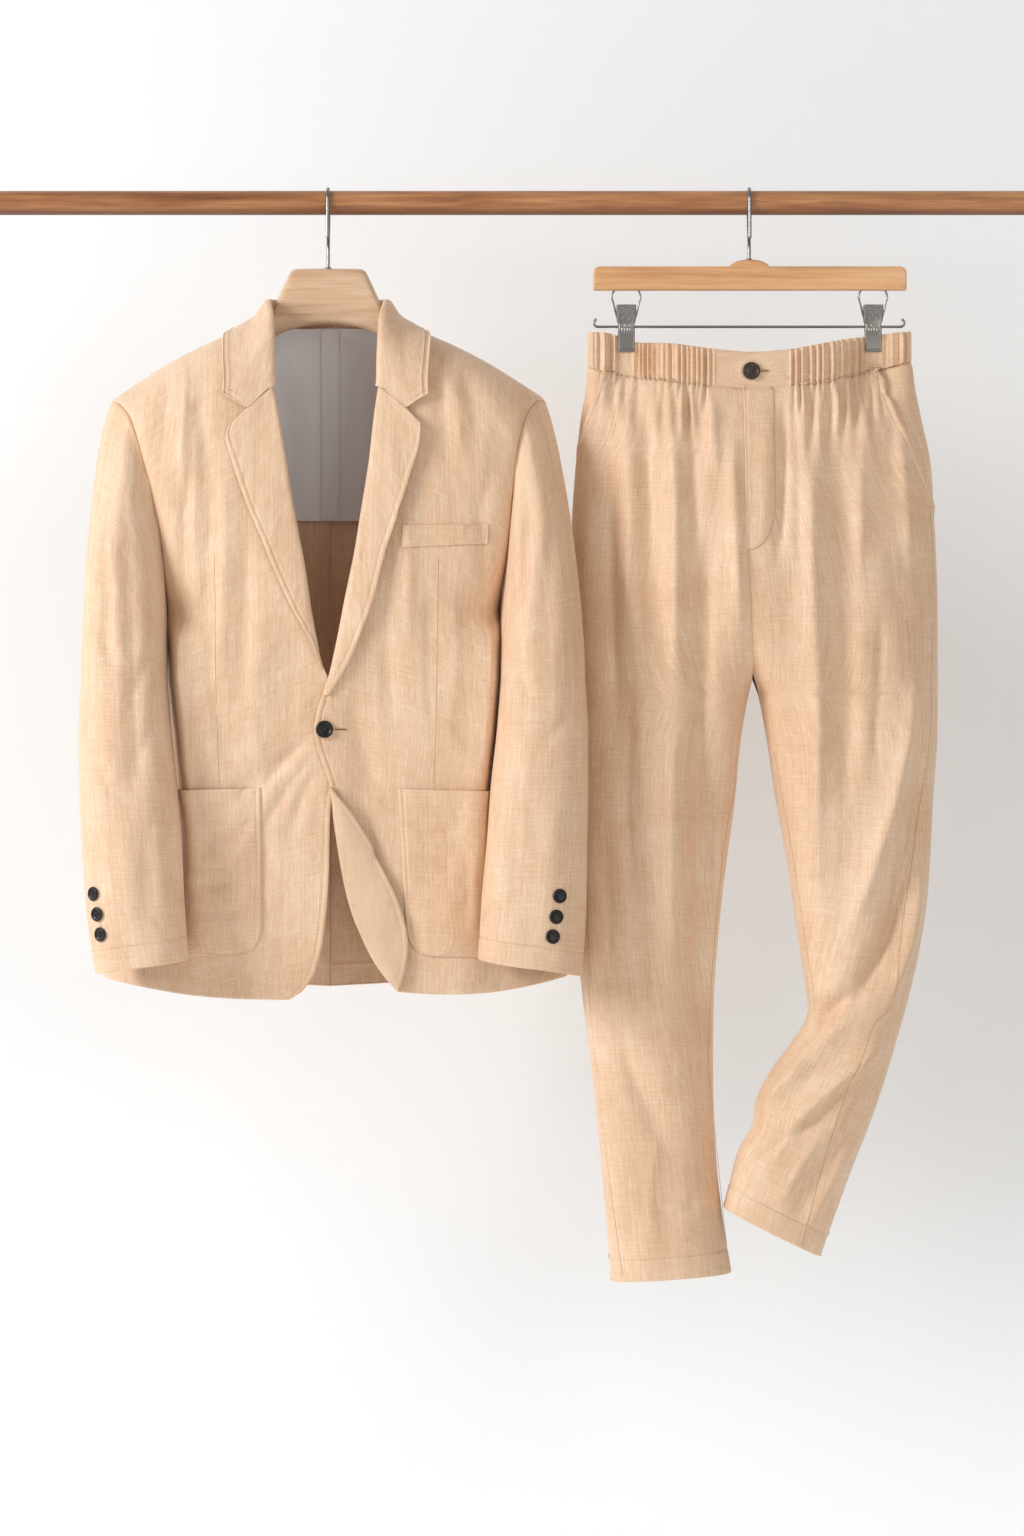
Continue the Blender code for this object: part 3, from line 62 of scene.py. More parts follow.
class Thread:
    """A value that runs between shader nodes. Arithmetic on it adds Math nodes."""

    def __init__(self, tree, socket):
        self.tree = tree
        self.socket = socket

    def add(self, kind, sockets, output=0, stops=None, **settings):
        """Any node: its settings and ramp stops first, then values or links for its sockets."""
        node = self.tree.nodes.new(kind)
        for key, value in settings.items():
            setattr(node, key, value)
        if stops:
            ramp = node.color_ramp.elements
            while len(ramp) < len(stops):
                ramp.new(0.5)
            for element, (place, colour) in zip(ramp, stops):
                element.position = place
                element.color = (*colour, 1.0)
        for key, value in sockets.items():
            if isinstance(value, Thread):
                self.tree.links.new(value.socket, node.inputs[key])
            else:
                node.inputs[key].default_value = value
        return Thread(self.tree, node.outputs[output])

    def maths(self, operation, a, b=0.0, clamp=False):
        return self.add("ShaderNodeMath", {0: a, 1: b}, operation=operation, use_clamp=clamp)

    def __add__(self, other):
        return self.maths("ADD", self, other)

    def __radd__(self, other):
        return self.maths("ADD", other, self)

    def __sub__(self, other):
        return self.maths("SUBTRACT", self, other)

    def __rsub__(self, other):
        return self.maths("SUBTRACT", other, self)

    def __mul__(self, other):
        return self.maths("MULTIPLY", self, other)

    def __rmul__(self, other):
        return self.maths("MULTIPLY", other, self)

    def clamped(self):
        return self.maths("ADD", self, 0.0, clamp=True)

    def mapped(self, scale, turn=(0.0, 0.0, 0.0), shift=(0.0, 0.0, 0.0)):
        return self.add("ShaderNodeMapping",
                        {"Vector": self, "Scale": scale, "Rotation": turn, "Location": shift})

    def noise(self, scale, detail=2.0, rough=0.5, turn=(0.0, 0.0, 0.0), shift=(0.0, 0.0, 0.0)):
        """Noise whose spots are 1 / scale across in each direction, in metres."""
        return self.add("ShaderNodeTexNoise", {"Vector": self.mapped(scale, turn, shift), "Scale": 1.0,
                                               "Detail": detail, "Roughness": rough})

    def ramp(self, dark, mid, light):
        """This value picks a colour between dark at 0, mid at a half and light at 1."""
        stops = [(0.5 * step, colour(*tone)[:3]) for step, tone in enumerate((dark, mid, light))]
        return self.add("ShaderNodeValToRGB", {0: self}, stops=stops)

    def blend(self, first, second):
        """This value mixes two colours."""
        return self.add("ShaderNodeMix", {0: self, 6: first, 7: second}, output=2, data_type="RGBA")

    def bump(self, distance, strength=1.0, under=None):
        sockets = {"Height": self, "Distance": distance, "Strength": strength}
        if under is not None:
            sockets["Normal"] = under
        return self.add("ShaderNodeBump", sockets)


class Finish:
    """A material with one Principled surface."""

    def __init__(self, name, **fixed):
        self.material = bpy.data.materials.new(name)
        self.material.use_nodes = True
        self.tree = self.material.node_tree
        self.shader = self.tree.nodes["Principled BSDF"]
        for key, value in fixed.items():
            self.shader.inputs[key.replace("_", " ")].default_value = value

    def coords(self, which):
        return Thread(self.tree, self.tree.nodes.new("ShaderNodeTexCoord").outputs[which])

    def link(self, **threads):
        for key, value in threads.items():
            self.tree.links.new(value.socket, self.shader.inputs[key.replace("_", " ")])
        return self


def colour(red, green, blue):
    """An sRGB colour of 0 to 255 as the shader's linear one."""
    parts = np.array([red, green, blue]) / 255.0
    low = parts / 12.92
    high = ((parts + 0.055) / 1.055) ** 2.4
    return (*np.where(parts <= 0.04045, low, high).tolist(), 1.0)


def one_sided(name, paint):
    """A matt wall paint that lets light and sight through from behind."""
    wall = Finish(name, Base_Color=paint, Roughness=0.95, Specular_IOR_Level=0.1)
    tree = wall.tree
    behind = tree.nodes.new("ShaderNodeNewGeometry").outputs["Backfacing"]
    clear = tree.nodes.new("ShaderNodeBsdfTransparent")
    mixed = tree.nodes.new("ShaderNodeMixShader")
    tree.links.new(behind, mixed.inputs[0])
    tree.links.new(wall.shader.outputs[0], mixed.inputs[1])
    tree.links.new(clear.outputs[0], mixed.inputs[2])
    tree.links.new(mixed.outputs[0], tree.nodes["Material Output"].inputs["Surface"])
    return wall.material


def flat_stage(name, corners, material):
    """One plain quadrilateral of the room."""
    mesh = bpy.data.meshes.new(name)
    mesh.from_pydata(corners, [], [(0, 1, 2, 3)])
    mesh.materials.append(material)
    piece = bpy.data.objects.new(name, mesh)
    scene.collection.objects.link(piece)


WALL_AT, WALL_TOP, FLOOR_AT, ROOM = 0.42, 4.0, -1.75, 7.0
wall_paint = one_sided("wall_paint", colour(243, 245, 246))
flat_stage("wall", [(-ROOM, WALL_AT, FLOOR_AT), (ROOM, WALL_AT, FLOOR_AT), (ROOM, WALL_AT, WALL_TOP),
                    (-ROOM, WALL_AT, WALL_TOP)], wall_paint)
floor_paint = Finish("floor_paint", Base_Color=colour(240, 239, 238), Roughness=0.9).material
flat_stage("floor", [(-ROOM, -ROOM, FLOOR_AT), (ROOM, -ROOM, FLOOR_AT), (ROOM, ROOM, FLOOR_AT),
                     (-ROOM, ROOM, FLOOR_AT)], floor_paint)

world = bpy.data.worlds.new("studio")
scene.world = world
world.use_nodes = True
sky = world.node_tree.nodes["Background"].inputs
sky["Color"].default_value = (1.0, 0.968, 0.935, 1.0)
sky["Strength"].default_value = 0.38


def softbox(name, at, towards, wide, high, watts, tint=(1.0, 1.0, 1.0)):
    """A rectangular lamp at a place, turned towards another."""
    lamp = bpy.data.lights.new(name, "AREA")
    lamp.shape = "RECTANGLE"
    lamp.size, lamp.size_y = wide, high
    lamp.energy = watts
    lamp.color = tint
    holder = bpy.data.objects.new(name, lamp)
    holder.location = at
    aim = Vector(towards) - Vector(at)
    holder.rotation_mode = "QUATERNION"
    holder.rotation_quaternion = aim.to_track_quat("-Z", "Y")
    scene.collection.objects.link(holder)


softbox("key", (-3.45, -1.95, 0.8), (0.0, 0.0, -0.55), 1.3, 1.6, 128.0, (0.975, 0.985, 1.0))
softbox("fill", (2.2, -4.0, 0.5), (0.0, 0.0, -0.6), 2.6, 2.6, 45.0)
softbox("wall_wash", (0.3, -0.15, -1.7), (0.1, 0.42, -1.25), 2.2, 0.12, 1.4)
softbox("back_light", (1.5, 3.2, 1.2), (0.0, 0.0, -0.6), 2.5, 2.5, 60.0)
softbox("left_back_light", (-2.6, 2.6, 0.4), (0.0, 0.0, -0.6), 2.0, 2.0, 35.0)


# Hanging rod: turned wood, 25.4 mm across, with a small chamfer at each end. Its grain runs along it, with
# painted shade low down, and the lacquer is satin.

MM = 0.001
AHEAD, BEHIND, UP = (0, -1, 0), (0, 1, 0), (0, 0, 1)
ROD_LONG, ROD_ACROSS, ROD_CHAMFER = 1100.0, 25.4, 1.5


def weld(mesh, turn_out=True):
    """Merges the doubled points of a closed seam or pole and turns the faces out."""
    shape = bmesh.new()
    shape.from_mesh(mesh)
    bmesh.ops.remove_doubles(shape, verts=shape.verts, dist=1e-7)
    bmesh.ops.dissolve_degenerate(shape, dist=1e-8, edges=shape.edges)
    if turn_out:
        bmesh.ops.recalc_face_normals(shape, faces=shape.faces)
    shape.to_mesh(mesh)
    shape.free()


def unit(v):
    """Vectors along the last axis, each divided by its length."""
    return v / np.linalg.norm(v, axis=-1, keepdims=True)


def lengths(grid, axis):
    """Distance run along one way of a grid of points, in metres."""
    step = np.linalg.norm(np.diff(grid, axis=axis), axis=-1)
    start = np.zeros_like(np.take(step, [0], axis=axis))
    return np.concatenate([start, np.cumsum(step, axis=axis)], axis=axis)


def new_piece(name, points, faces, uv, material, stands_for=()):
    """A finished piece at the origin, with its UV map, material and body, and the nodes it replaces hidden.
    """
    mesh = bpy.data.meshes.new(name)
    mesh.from_pydata(points, [], faces)
    layer = mesh.uv_layers.new(name="UVMap")
    corner = np.empty(len(mesh.loops), dtype=np.int64)
    mesh.loops.foreach_get("vertex_index", corner)
    layer.data.foreach_set("uv", uv[corner].astype(np.float32).ravel())
    mesh.shade_smooth()
    mesh.materials.append(material)
    piece = bpy.data.objects.new(name, mesh)
    scene.collection.objects.link(piece)
    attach(piece, "root")
    if stands_for:
        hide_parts(*stands_for)
    return piece


def quads_of(rows, cols):
    """Faces of a grid of rows times cols points."""
    at = np.arange(rows * cols).reshape(rows, cols)
    return np.stack([at[:-1, :-1], at[:-1, 1:], at[1:, 1:], at[1:, :-1]], axis=-1).reshape(-1, 4)


def closed_piece(name, grids, material, stands_for=(), sharp=40.0):
    """A closed body from one or more wrapped grids, each with its last column on its first and poles at its
    ends."""
    points, faces, uvs = [], [], []
    start = 0
    for grid in grids:
        rows, cols = grid.shape[:2]
        points.append(grid.reshape(-1, 3))
        faces.append(quads_of(rows, cols) + start)
        uvs.append(np.stack([lengths(grid, 1), lengths(grid, 0)], axis=-1).reshape(-1, 2))
        start += rows * cols
    points = np.concatenate(points)
    piece = new_piece(name, points, np.concatenate(faces), np.concatenate(uvs), material, stands_for)
    weld(piece.data)
    piece.data.shade_smooth()
    piece.data.set_sharp_from_angle(angle=math.radians(sharp))
    return piece


def turned(profile, sides, at, axis, toward):
    """A profile of (radius, height) turned round an axis through a point; toward is where the turn starts."""
    axis = unit(np.asarray(axis, float))
    first = unit(np.asarray(toward, float) - axis * np.dot(toward, axis))
    second = np.cross(axis, first)
    profile = np.asarray(profile, float)
    turn = np.linspace(0, 2 * np.pi, sides + 1)
    ring = np.cos(turn)[None, :, None] * first + np.sin(turn)[None, :, None] * second
    return np.asarray(at, float) + profile[:, 0, None, None] * ring + profile[:, 1, None, None] * axis


def wood(name, light, mid, dark, gloss, along="x", low=None):
    """Grain as long streaks of noise along one axis, with finer pores and slow colour bands, and painted
    shade below a level when one is given."""
    skin = Finish(name, Specular_IOR_Level=0.4, Coat_Weight=gloss, Coat_Roughness=0.25)
    place = skin.coords("Object")
    grain, pores, bands = (
        place.noise(tuple(lengthwise if axis == along else crosswise for axis in "xyz"), detail, rough)
        for lengthwise, crosswise, detail, rough in ((9.0, 150.0, 4.0, 0.62), (26.0, 900.0, 2.0, 0.6),
                                                     (2.2, 34.0, 2.0, 0.5)))
    tone = ((grain - 0.5) * 1.7 + (bands - 0.5) * 1.1 + (pores - 0.5) * 0.55 + 0.5).clamped()
    tint = tone.ramp(dark, mid, light)
    if low is not None:
        # Painted shade: below the given level the colour is blended towards dark brown, standing for the
        # shade under the rod.
        level = place.add("ShaderNodeSeparateXYZ", {0: place}, output=2)
        under = ((low - level) * 130.0).clamped() * 0.75
        tint = under.blend(tint, colour(96, 56, 32))
    height = grain * 0.4 + pores * 0.6
    skin.link(Base_Color=tint, Roughness=0.3 + pores * 0.22, Normal=height.bump(0.00012, 0.5))
    return skin.material


# The rod gets painted shade on its underside, below 4.5 mm under its axis.
rod_wood = wood("rod_wood", (196, 142, 96), (164, 110, 70), (120, 72, 42), 0.15, low=-0.0045)
half, radius, chamfer = ROD_LONG / 2, ROD_ACROSS / 2, ROD_CHAMFER
profile = [(0, -half), (radius - chamfer, -half), (radius, -half + chamfer), (radius, -half / 2), (radius, 0),
           (radius, half / 2), (radius, half - chamfer), (radius - chamfer, half), (0, half)]
closed_piece("rod", [turned(np.array(profile) * MM, 96, (0, 0, 0), (1, 0, 0), UP)], rod_wood,
             ["hanging_rod"])


# Hooks: one bright plated wire each, bent over the rod, back to the middle and down into the hanger's top,
# where a small collar closes the hole.

JACKET_X, TROUSERS_X = -193.0, 252.0
WIRE = 3.6
HOOK = [(-16.9, 38), (-16.0, 19), (-14.8, 4), (-13.93, -5.05), (-11.35, -9.52), (-7.4, -12.85),
        (-2.5, -14.6), (2.5, -14.6), (7.4, -12.85), (11.35, -9.52), (13.93, -5.05), (14.8, 8), (14.0, 18),
        (10.8, 28), (5.3, 36), (1.6, 43), (0, 50)]
HOOK_COLLAR = np.array([(0, 1.6), (2.6, 1.6), (3.4, 1.2), (3.7, 0.5), (3.7, -0.4), (0, -0.4)])


def refined(grid, axis, at):
    """Catmull-Rom curve through a grid's points along one axis, read at places of its index."""
    grid = np.moveaxis(np.asarray(grid, float), axis, 0)
    ends = np.concatenate([[2 * grid[0] - grid[1]], grid, [2 * grid[-1] - grid[-2]]])
    i = np.clip(at.astype(int), 0, len(grid) - 2)
    t = (at - i).reshape(-1, *([1] * (grid.ndim - 1)))
    a, b, c, d = (ends[i + k] for k in range(4))
    made = 0.5 * (2 * b + (c - a) * t + (2 * a - 5 * b + 4 * c - d) * t**2 + (3 * b - a - 3 * c + d) * t**3)
    return np.moveaxis(made, 0, axis)


def curve_through(points, count):
    """Catmull-Rom curve through points, read at evenly spaced lengths."""
    points = np.asarray(points, float)
    fine = refined(points, 0, np.arange(24 * (len(points) - 1) + 1) / 24)
    run = lengths(fine, 0)
    want = np.linspace(0, run[-1], count)
    return np.stack([np.interp(want, run, fine[:, k]) for k in range(points.shape[1])], axis=-1)


def swept(path, radius, sides=20, ends=True):
    """A round bar along a path: a circle carried along it without twisting, with a dome on each end."""
    path = np.asarray(path, float)
    along = unit(np.gradient(path, axis=0))
    side = np.zeros_like(path)
    side[0] = unit(np.cross(along[0], (0.31, 0.95, 0.05)))
    for i in range(1, len(path)):
        side[i] = unit(side[i - 1] - along[i] * np.dot(side[i - 1], along[i]))
    other = np.cross(along, side)
    turn = np.linspace(0, 2 * np.pi, sides + 1)[None, :, None]
    body = path[:, None] + radius * (np.cos(turn) * side[:, None] + np.sin(turn) * other[:, None])
    if not ends:
        return body
    dome = np.array([0.0, 0.5, 0.87])[:, None, None]
    first, last = (path[end] + sign * along[end] * radius * np.sqrt(1 - dome**2)
                   + radius * dome * (np.cos(turn) * side[end] + np.sin(turn) * other[end])
                   for end, sign in ((0, -1), (-1, 1)))
    return np.concatenate([first, body, last[::-1]])


def steel(name, tone, rough, brushed):
    """Bright plate: metal whose roughness drifts a little, with fine scratches."""
    skin = Finish(name, Base_Color=colour(*tone), Metallic=1.0)
    place = skin.coords("Object")
    cloud = place.noise((70.0, 70.0, 70.0), 3.0)
    scratch = place.noise((1400.0, 1400.0, 60.0), 2.0, 0.6)
    skin.link(Roughness=rough + cloud * 0.12, Normal=scratch.bump(0.00003, brushed))
    return skin.material


hook_steel = steel("hook_steel", (138, 136, 134), 0.2, 0.2)
for name, centre, foot in (("jacket_hook", JACKET_X, 69.0), ("trouser_hook", TROUSERS_X - 3.0, 60.0)):
    line = curve_through(HOOK + [(0, (50 + foot) / 2), (0, foot + 2.0)], 120)
    path = np.stack([np.full(len(line), centre), line[:, 0], -line[:, 1]], axis=-1) * MM
    ring = turned(HOOK_COLLAR * MM, 40, np.array([centre, 0, -foot]) * MM, UP, (1, 0, 0))
    closed_piece(f"{name}_wire", [swept(path, WIRE / 2 * MM), ring], hook_steel, [name],
                 sharp=50.0)


# Contoured hanger inside the blazer: one piece of light beech, deep and flat at the neck with a soft ledge
# across it, its arms swelling towards the shoulders.

HANGER_ROWS = {
    "a": (0, 12, 24, 33, 36.5, 38.6, 40.5, 44, 49, 53, 56.5, 59, 62, 66, 71),
    "top": (69, 69, 69.1, 69.4, 70.2, 71.6, 74.3, 81, 92, 100.5, 109, 119, 128, 132, 134.5),
    "bottom": (126.6, 127.2, 129, 131.2, 132.2, 132.8, 133.3, 134.5, 137, 139, 141, 143, 146.5, 153, 158),
    "half": (11, 11, 11, 11, 11, 11, 11.1, 11.2, 11.5, 11.9, 12.4, 13, 14, 15, 15.7),
}
HANGER_ARM = {"from": 84.0, "to": 215.0, "tall": 26.0, "clear": 2.6}
HANGER_SQUARE, LEDGE_LEVEL, LEDGE_REACH = 2.6, 106.0, 60.0
SHOULDER_LINE = {-1: ((66, 124), (226, 207)), 1: ((66, 124), (226, 205))}
SHOULDER_BOW = -8.0


def shoulder_line(side, a):
    """Level of the shoulder line: a straight run from neck to armhole, raised a little in its middle."""
    (neck_a, neck_d), (tip_a, tip_d) = SHOULDER_LINE[side]
    share = (a - neck_a) / (tip_a - neck_a)
    return neck_d + share * (tip_d - neck_d) + SHOULDER_BOW * np.sin(np.pi * np.clip(share, 0, 1))


def world_points(points, centre, side):
    """Points (a, y, d) in millimetres from a garment's own centre line as metres in the row's frame."""
    points = np.asarray(points, float)
    return np.stack([centre + side * points[..., 0], points[..., 1], -points[..., 2]], axis=-1) * MM


hanger_wood = wood("hanger_wood", (228, 196, 164), (212, 176, 142), (186, 146, 110), 0.15)
turn = np.linspace(0, 2 * np.pi, 65)
round_y, round_d = (np.sign(wave) * np.abs(wave) ** (2 / HANGER_SQUARE)
                    for wave in (np.cos(turn), np.sin(turn)))
stations = {}
for side in (-1, 1):
    arm = np.linspace(HANGER_ARM["from"], HANGER_ARM["to"], 24)
    share = (arm - arm[0]) / (arm[-1] - arm[0])
    size = np.sqrt(np.clip(1 - ((share - 0.93) / 0.075).clip(0, 1) ** 2, 0.0, 1))
    top = shoulder_line(side, arm) + HANGER_ARM["clear"] + (1 - size) * 9
    deep = (15.8 + 4.2 * np.sin(1.7 * np.minimum(share, 0.85))) * size
    rows = [np.append(neck, arm_part) for neck, arm_part in zip(
        HANGER_ROWS.values(), (arm, top, top + HANGER_ARM["tall"] * size, deep))]
    for a, high, low, deep in zip(*rows):
        middle, tall = (high + low) / 2, (low - high) / 2
        ledge = 1.5 * np.exp(-(((middle + tall * round_d - LEDGE_LEVEL) / 7.0) ** 2)) * (a < LEDGE_REACH)
        ring = np.stack([np.full(len(turn), a), (deep + ledge) * round_y, middle + tall * round_d], axis=-1)
        stations[side * a] = world_points(ring, JACKET_X, side)
ends = [np.repeat(stations[key].mean(axis=0)[None], len(turn), 0) for key in (min(stations), max(stations))]
rings = [ends[0]] + [stations[key] for key in sorted(stations)] + [ends[1]]
closed_piece("contoured_hanger", [np.array(rings)], hanger_wood, ["jacket_hanger"], sharp=60.0)


# Clip hanger: a straight orange-tan bar with rounded edges and a low boss for the hook, a thin steel rod
# below it and two sprung clips that hang from the bar on wire loops and grip the waistband.

BAR = {"left": -167.0, "right": 162.0, "high": -67.0, "low": -92.0, "corner": 7.0, "low_corner": 2.0,
       "thick": 13.0, "edge": 2.2, "boss": 21.0, "boss_tall": 7.0, "boss_at": -3.0}
CLIP_A = (-132.0, 127.0)
CLIP = {"wide": 19.0, "rod_drop": 130.0, "rod": 2.8, "roll": 9.4, "wall": 1.0, "loop": 2.0}
LOWER_ROD_ENDS, CURL, CURL_TURN = (-162.0, 156.0), 4.0, 2.6
CLIP_HOLES = ((-4.6, 111.5), (4.6, 111.5), (-2.0, 114.2), (2.4, 114.0), (0.2, 117.4), (-3.4, 120.6),
              (3.4, 120.6), (-4.2, 130.4), (-1.4, 131.2), (1.4, 130.4), (4.2, 131.2))
CLIP_HOLE = np.array([(0, 0.22), (1.0, 0.22), (1.05, -0.3), (0, -0.3)])
CLIP_RIBS = (-4.2, -1.4, 1.4, 4.2)
LOOP_TOP = 92.3
JAW = [
    (-9.5, 107.5), (-9.3, 109), (-8.6, 112), (-7.4, 116), (-6.6, 120), (-6.2, 124), (-6.4, 129), (-6.8, 133),
    (-6.4, 137), (-6, 141), (-5.7, 145), (-5.5, 149), (-5.4, 153), (-5.5, 156.5),
]


def bar_outline():
    """Outline of the bar seen from the front, from its lower left corner round by the right: quarter rounds
    at the corners and a low boss on the middle of its top."""
    turn, low_turn = np.linspace(0, np.pi / 2, 9), np.linspace(0, np.pi / 2, 5)
    left, right, low, high = (BAR[key] for key in ("left", "right", "low", "high"))
    c, k = BAR["corner"], BAR["low_corner"]
    across = np.linspace(-1, 1, 25)[::-1]
    boss = BAR["boss_tall"] * np.clip(1 - np.abs(across) ** 2.6, 0, 1) ** 0.75
    parts = ((left + k - k * np.cos(low_turn), low + k - k * np.sin(low_turn)),
             (np.linspace(left + 30, right - 30, 20), np.full(20, low)),
             (right - k + k * np.sin(low_turn), low + k - k * np.cos(low_turn)),
             (right - c + c * np.cos(turn), high - c + c * np.sin(turn)),
             (BAR["boss_at"] + BAR["boss"] * across, high + boss),
             (left + c - c * np.sin(turn), high - c + c * np.cos(turn)))
    return np.concatenate([np.stack(part, axis=-1) for part in parts])


def plate(outline, thick, edge, centre):
    """An outline in x and z given depth along y with quarter-round edges and flat faces, each closed on a
    short spine along its middle."""
    inward = np.roll(outline, -1, axis=0) - np.roll(outline, 1, axis=0)
    inward = unit(np.stack([-inward[:, 1], inward[:, 0]], axis=-1))
    steps = np.linspace(0, np.pi / 2, 5)
    inset, depth = edge * (1 - np.sin(steps)), thick / 2 - edge * (1 - np.cos(steps))
    inset, depth = np.append(inset, inset[::-1]), np.append(-depth, depth[::-1])
    flat = outline + inward * inset[:, None, None]
    spine = np.clip(flat[:1, :, 0], BAR["left"] + 12, BAR["right"] - 12)
    spine = np.stack([spine, np.full_like(spine, (BAR["high"] + BAR["low"]) / 2)], axis=-1)
    flat, depth = np.concatenate([spine, flat, spine]), np.concatenate([depth[:1], depth, depth[-1:]])
    grid = np.stack([flat[..., 0], depth[:, None] + 0 * flat[..., 0], flat[..., 1]], axis=-1)
    grid = np.concatenate([grid, grid[:, :1]], axis=1)
    return (grid + np.array([centre, 0, 0])) * MM


bar_wood = wood("bar_wood", (232, 186, 138), (220, 168, 118), (196, 140, 92), 0.3)
closed_piece("clip_bar", [plate(bar_outline(), BAR["thick"], BAR["edge"], TROUSERS_X)], bar_wood,
             ["trouser_hanger_bar"], sharp=60.0)

clip_steel = steel("clip_steel", (146, 142, 137), 0.3, 0.5)
curl, (left_end, right_end) = np.linspace(0, CURL_TURN, 9), LOWER_ROD_ENDS
run = [(left_end - CURL * math.sin(t), CURL - CURL * math.cos(t)) for t in curl[::-1]]
run += [(x, 0.0) for x in np.linspace(left_end + 8, right_end - 8, 16)]
run += [(right_end + CURL * math.sin(t), CURL - CURL * math.cos(t)) for t in curl]
line = curve_through(run, 160)
path = np.stack([TROUSERS_X + line[:, 0], np.zeros(len(line)), line[:, 1] - CLIP["rod_drop"]], axis=-1) * MM
closed_piece("lower_rod", [swept(path, CLIP["rod"] / 2 * MM, 16)], clip_steel, ["clip_rod"],
             sharp=50.0)
# Dark discs on the punched dimples of the jaws: painted shade standing for the holes.
clip_hole_shade = Finish("clip_hole", Base_Color=colour(34, 32, 31), Roughness=0.7).material


def jaw_grid(x, face):
    """A pressed jaw: the profile carried across, crowned above, its sides bent in, with bells for the ribs,
    the lip and the punched dimples."""
    y, d = curve_through(JAW, 70).T[..., None]
    across = np.linspace(-1, 1, 41)
    wide = CLIP["wide"] / 2 * (0.93 + 0.15 / (1 + np.exp((d - 127) / 1.6)))
    pinch = 1 - 0.10 * np.exp(-(((d - 128) / 3.5) ** 2))
    w = wide * pinch * across
    crown = 0.9 * (1 - across**2) / (1 + np.exp((d - 124) / 3))
    flange = 1.3 * np.clip((np.abs(across) - 0.86) / 0.14, 0, 1) ** 1.5
    ribs = sum(0.75 * np.exp(-(((w - at) / 0.75) ** 2)) * np.clip((d - 127) / 2, 0, 1)
               * np.clip((139 - d) / 3, 0, 1) for at in CLIP_RIBS)
    lip = 0.6 * np.exp(-((d - 155.2) ** 2))
    dots = sum(-0.7 * np.exp(-(((w - u) ** 2 + (d - v) ** 2) / 0.9)) for u, v in CLIP_HOLES)
    out = y - crown - ribs - lip - dots + flange
    return np.stack([x + w, face * out, 0 * w - d], axis=-1) * MM


def outward(points, faces, facing):
    """Faces of a grid, turned to face a direction or, for None, away from each row's middle."""
    flat = points.reshape(-1, 3)
    normal = np.cross(flat[faces[:, 2]] - flat[faces[:, 0]], flat[faces[:, 3]] - flat[faces[:, 1]])
    if facing is None:
        out = (points - points.mean(axis=1, keepdims=True)).reshape(-1, 3)[faces[:, 0]]
        turned_in = np.sum(normal * out) < 0
    else:
        turned_in = normal.sum(axis=0) @ np.array(facing, float) < 0
    return faces[:, ::-1] if turned_in else faces


def walled(piece, wall):
    """Gives an open sheet its wall, in metres, on its inner side."""
    solid = piece.modifiers.new("wall", "SOLIDIFY")
    solid.thickness = wall
    solid.offset = -1.0
    return piece


for label, a in zip(("right", "left"), CLIP_A):
    x = TROUSERS_X + a
    for face, end in ((1, "front"), (-1, "back")):
        grid = jaw_grid(x, face)
        faces = outward(grid, quads_of(*grid.shape[:2]), (0, -face, 0))
        uv = np.stack([lengths(grid, 1), lengths(grid, 0)], axis=-1).reshape(-1, 2)
        piece = new_piece(f"jaw_{label}_{end}", grid.reshape(-1, 3), faces, uv, clip_steel,
                          [f"clip_{label}_{end}"])
        walled(piece, CLIP["wall"] * MM)
    # Dark discs at the dimples of the facing jaw, painted shade of the punched holes.
    sheet = jaw_grid(x, -1).reshape(-1, 3)
    holes = []
    for u, v in CLIP_HOLES:
        near = sheet[np.argmin((sheet[:, 0] - (x + u) * MM) ** 2 + (sheet[:, 2] + v * MM) ** 2)]
        holes.append(turned(CLIP_HOLE * MM, 12, near, AHEAD, UP))
    closed_piece(f"clip_holes_{label}", holes, clip_hole_shade, sharp=60.0)
    half, hole, roll = (CLIP["wide"] - 3) / 2, CLIP["rod"] / 2 + 0.3, CLIP["roll"] / 2
    sleeve = [(hole, -half), (roll - 0.4, -half), (roll, -half + 0.5), (roll, half - 0.5), (roll - 0.4, half),
              (hole, half), (hole, -half)]
    at = np.array([x, 0, -CLIP["rod_drop"]]) * MM
    closed_piece(f"roll_{label}", [turned(np.array(sleeve) * MM, 40, at, (1, 0, 0), UP)], clip_steel,
                 [f"clip_{label}_roll"])
    low = CLIP["rod_drop"] - roll - CLIP["loop"] / 2 - 0.3
    side_run = [(12.6, LOOP_TOP - 0.4), (14.6, LOOP_TOP + 3.5), (14.9, LOOP_TOP + 8), (13.4, LOOP_TOP + 13),
                (9.4, low - 3), (5, low)]
    line = curve_through([(-w, d) for w, d in side_run] + [(0, low)] + side_run[::-1], 90)
    path = np.stack([x + line[:, 0], np.zeros(len(line)), -line[:, 1]], axis=-1) * MM
    closed_piece(f"loop_{label}", [swept(path, CLIP["loop"] / 2 * MM, 14)], hook_steel,
                 [f"clip_{label}_loop"], sharp=50.0)


# Cloth: one open-weave linen in a warm tan. Thick and thin yarns run down each panel, finer ones across it,
# and the whole is softly crumpled. Every sheet's UV map is its own cloth in metres, warp down.

YARNS = {"warp": (1150.0, 60.0, 0.6), "weft": (60.0, 1050.0, 0.42), "slub": (430.0, 9.0, 0.42),
         "cross": (14.0, 420.0, 0.24)}


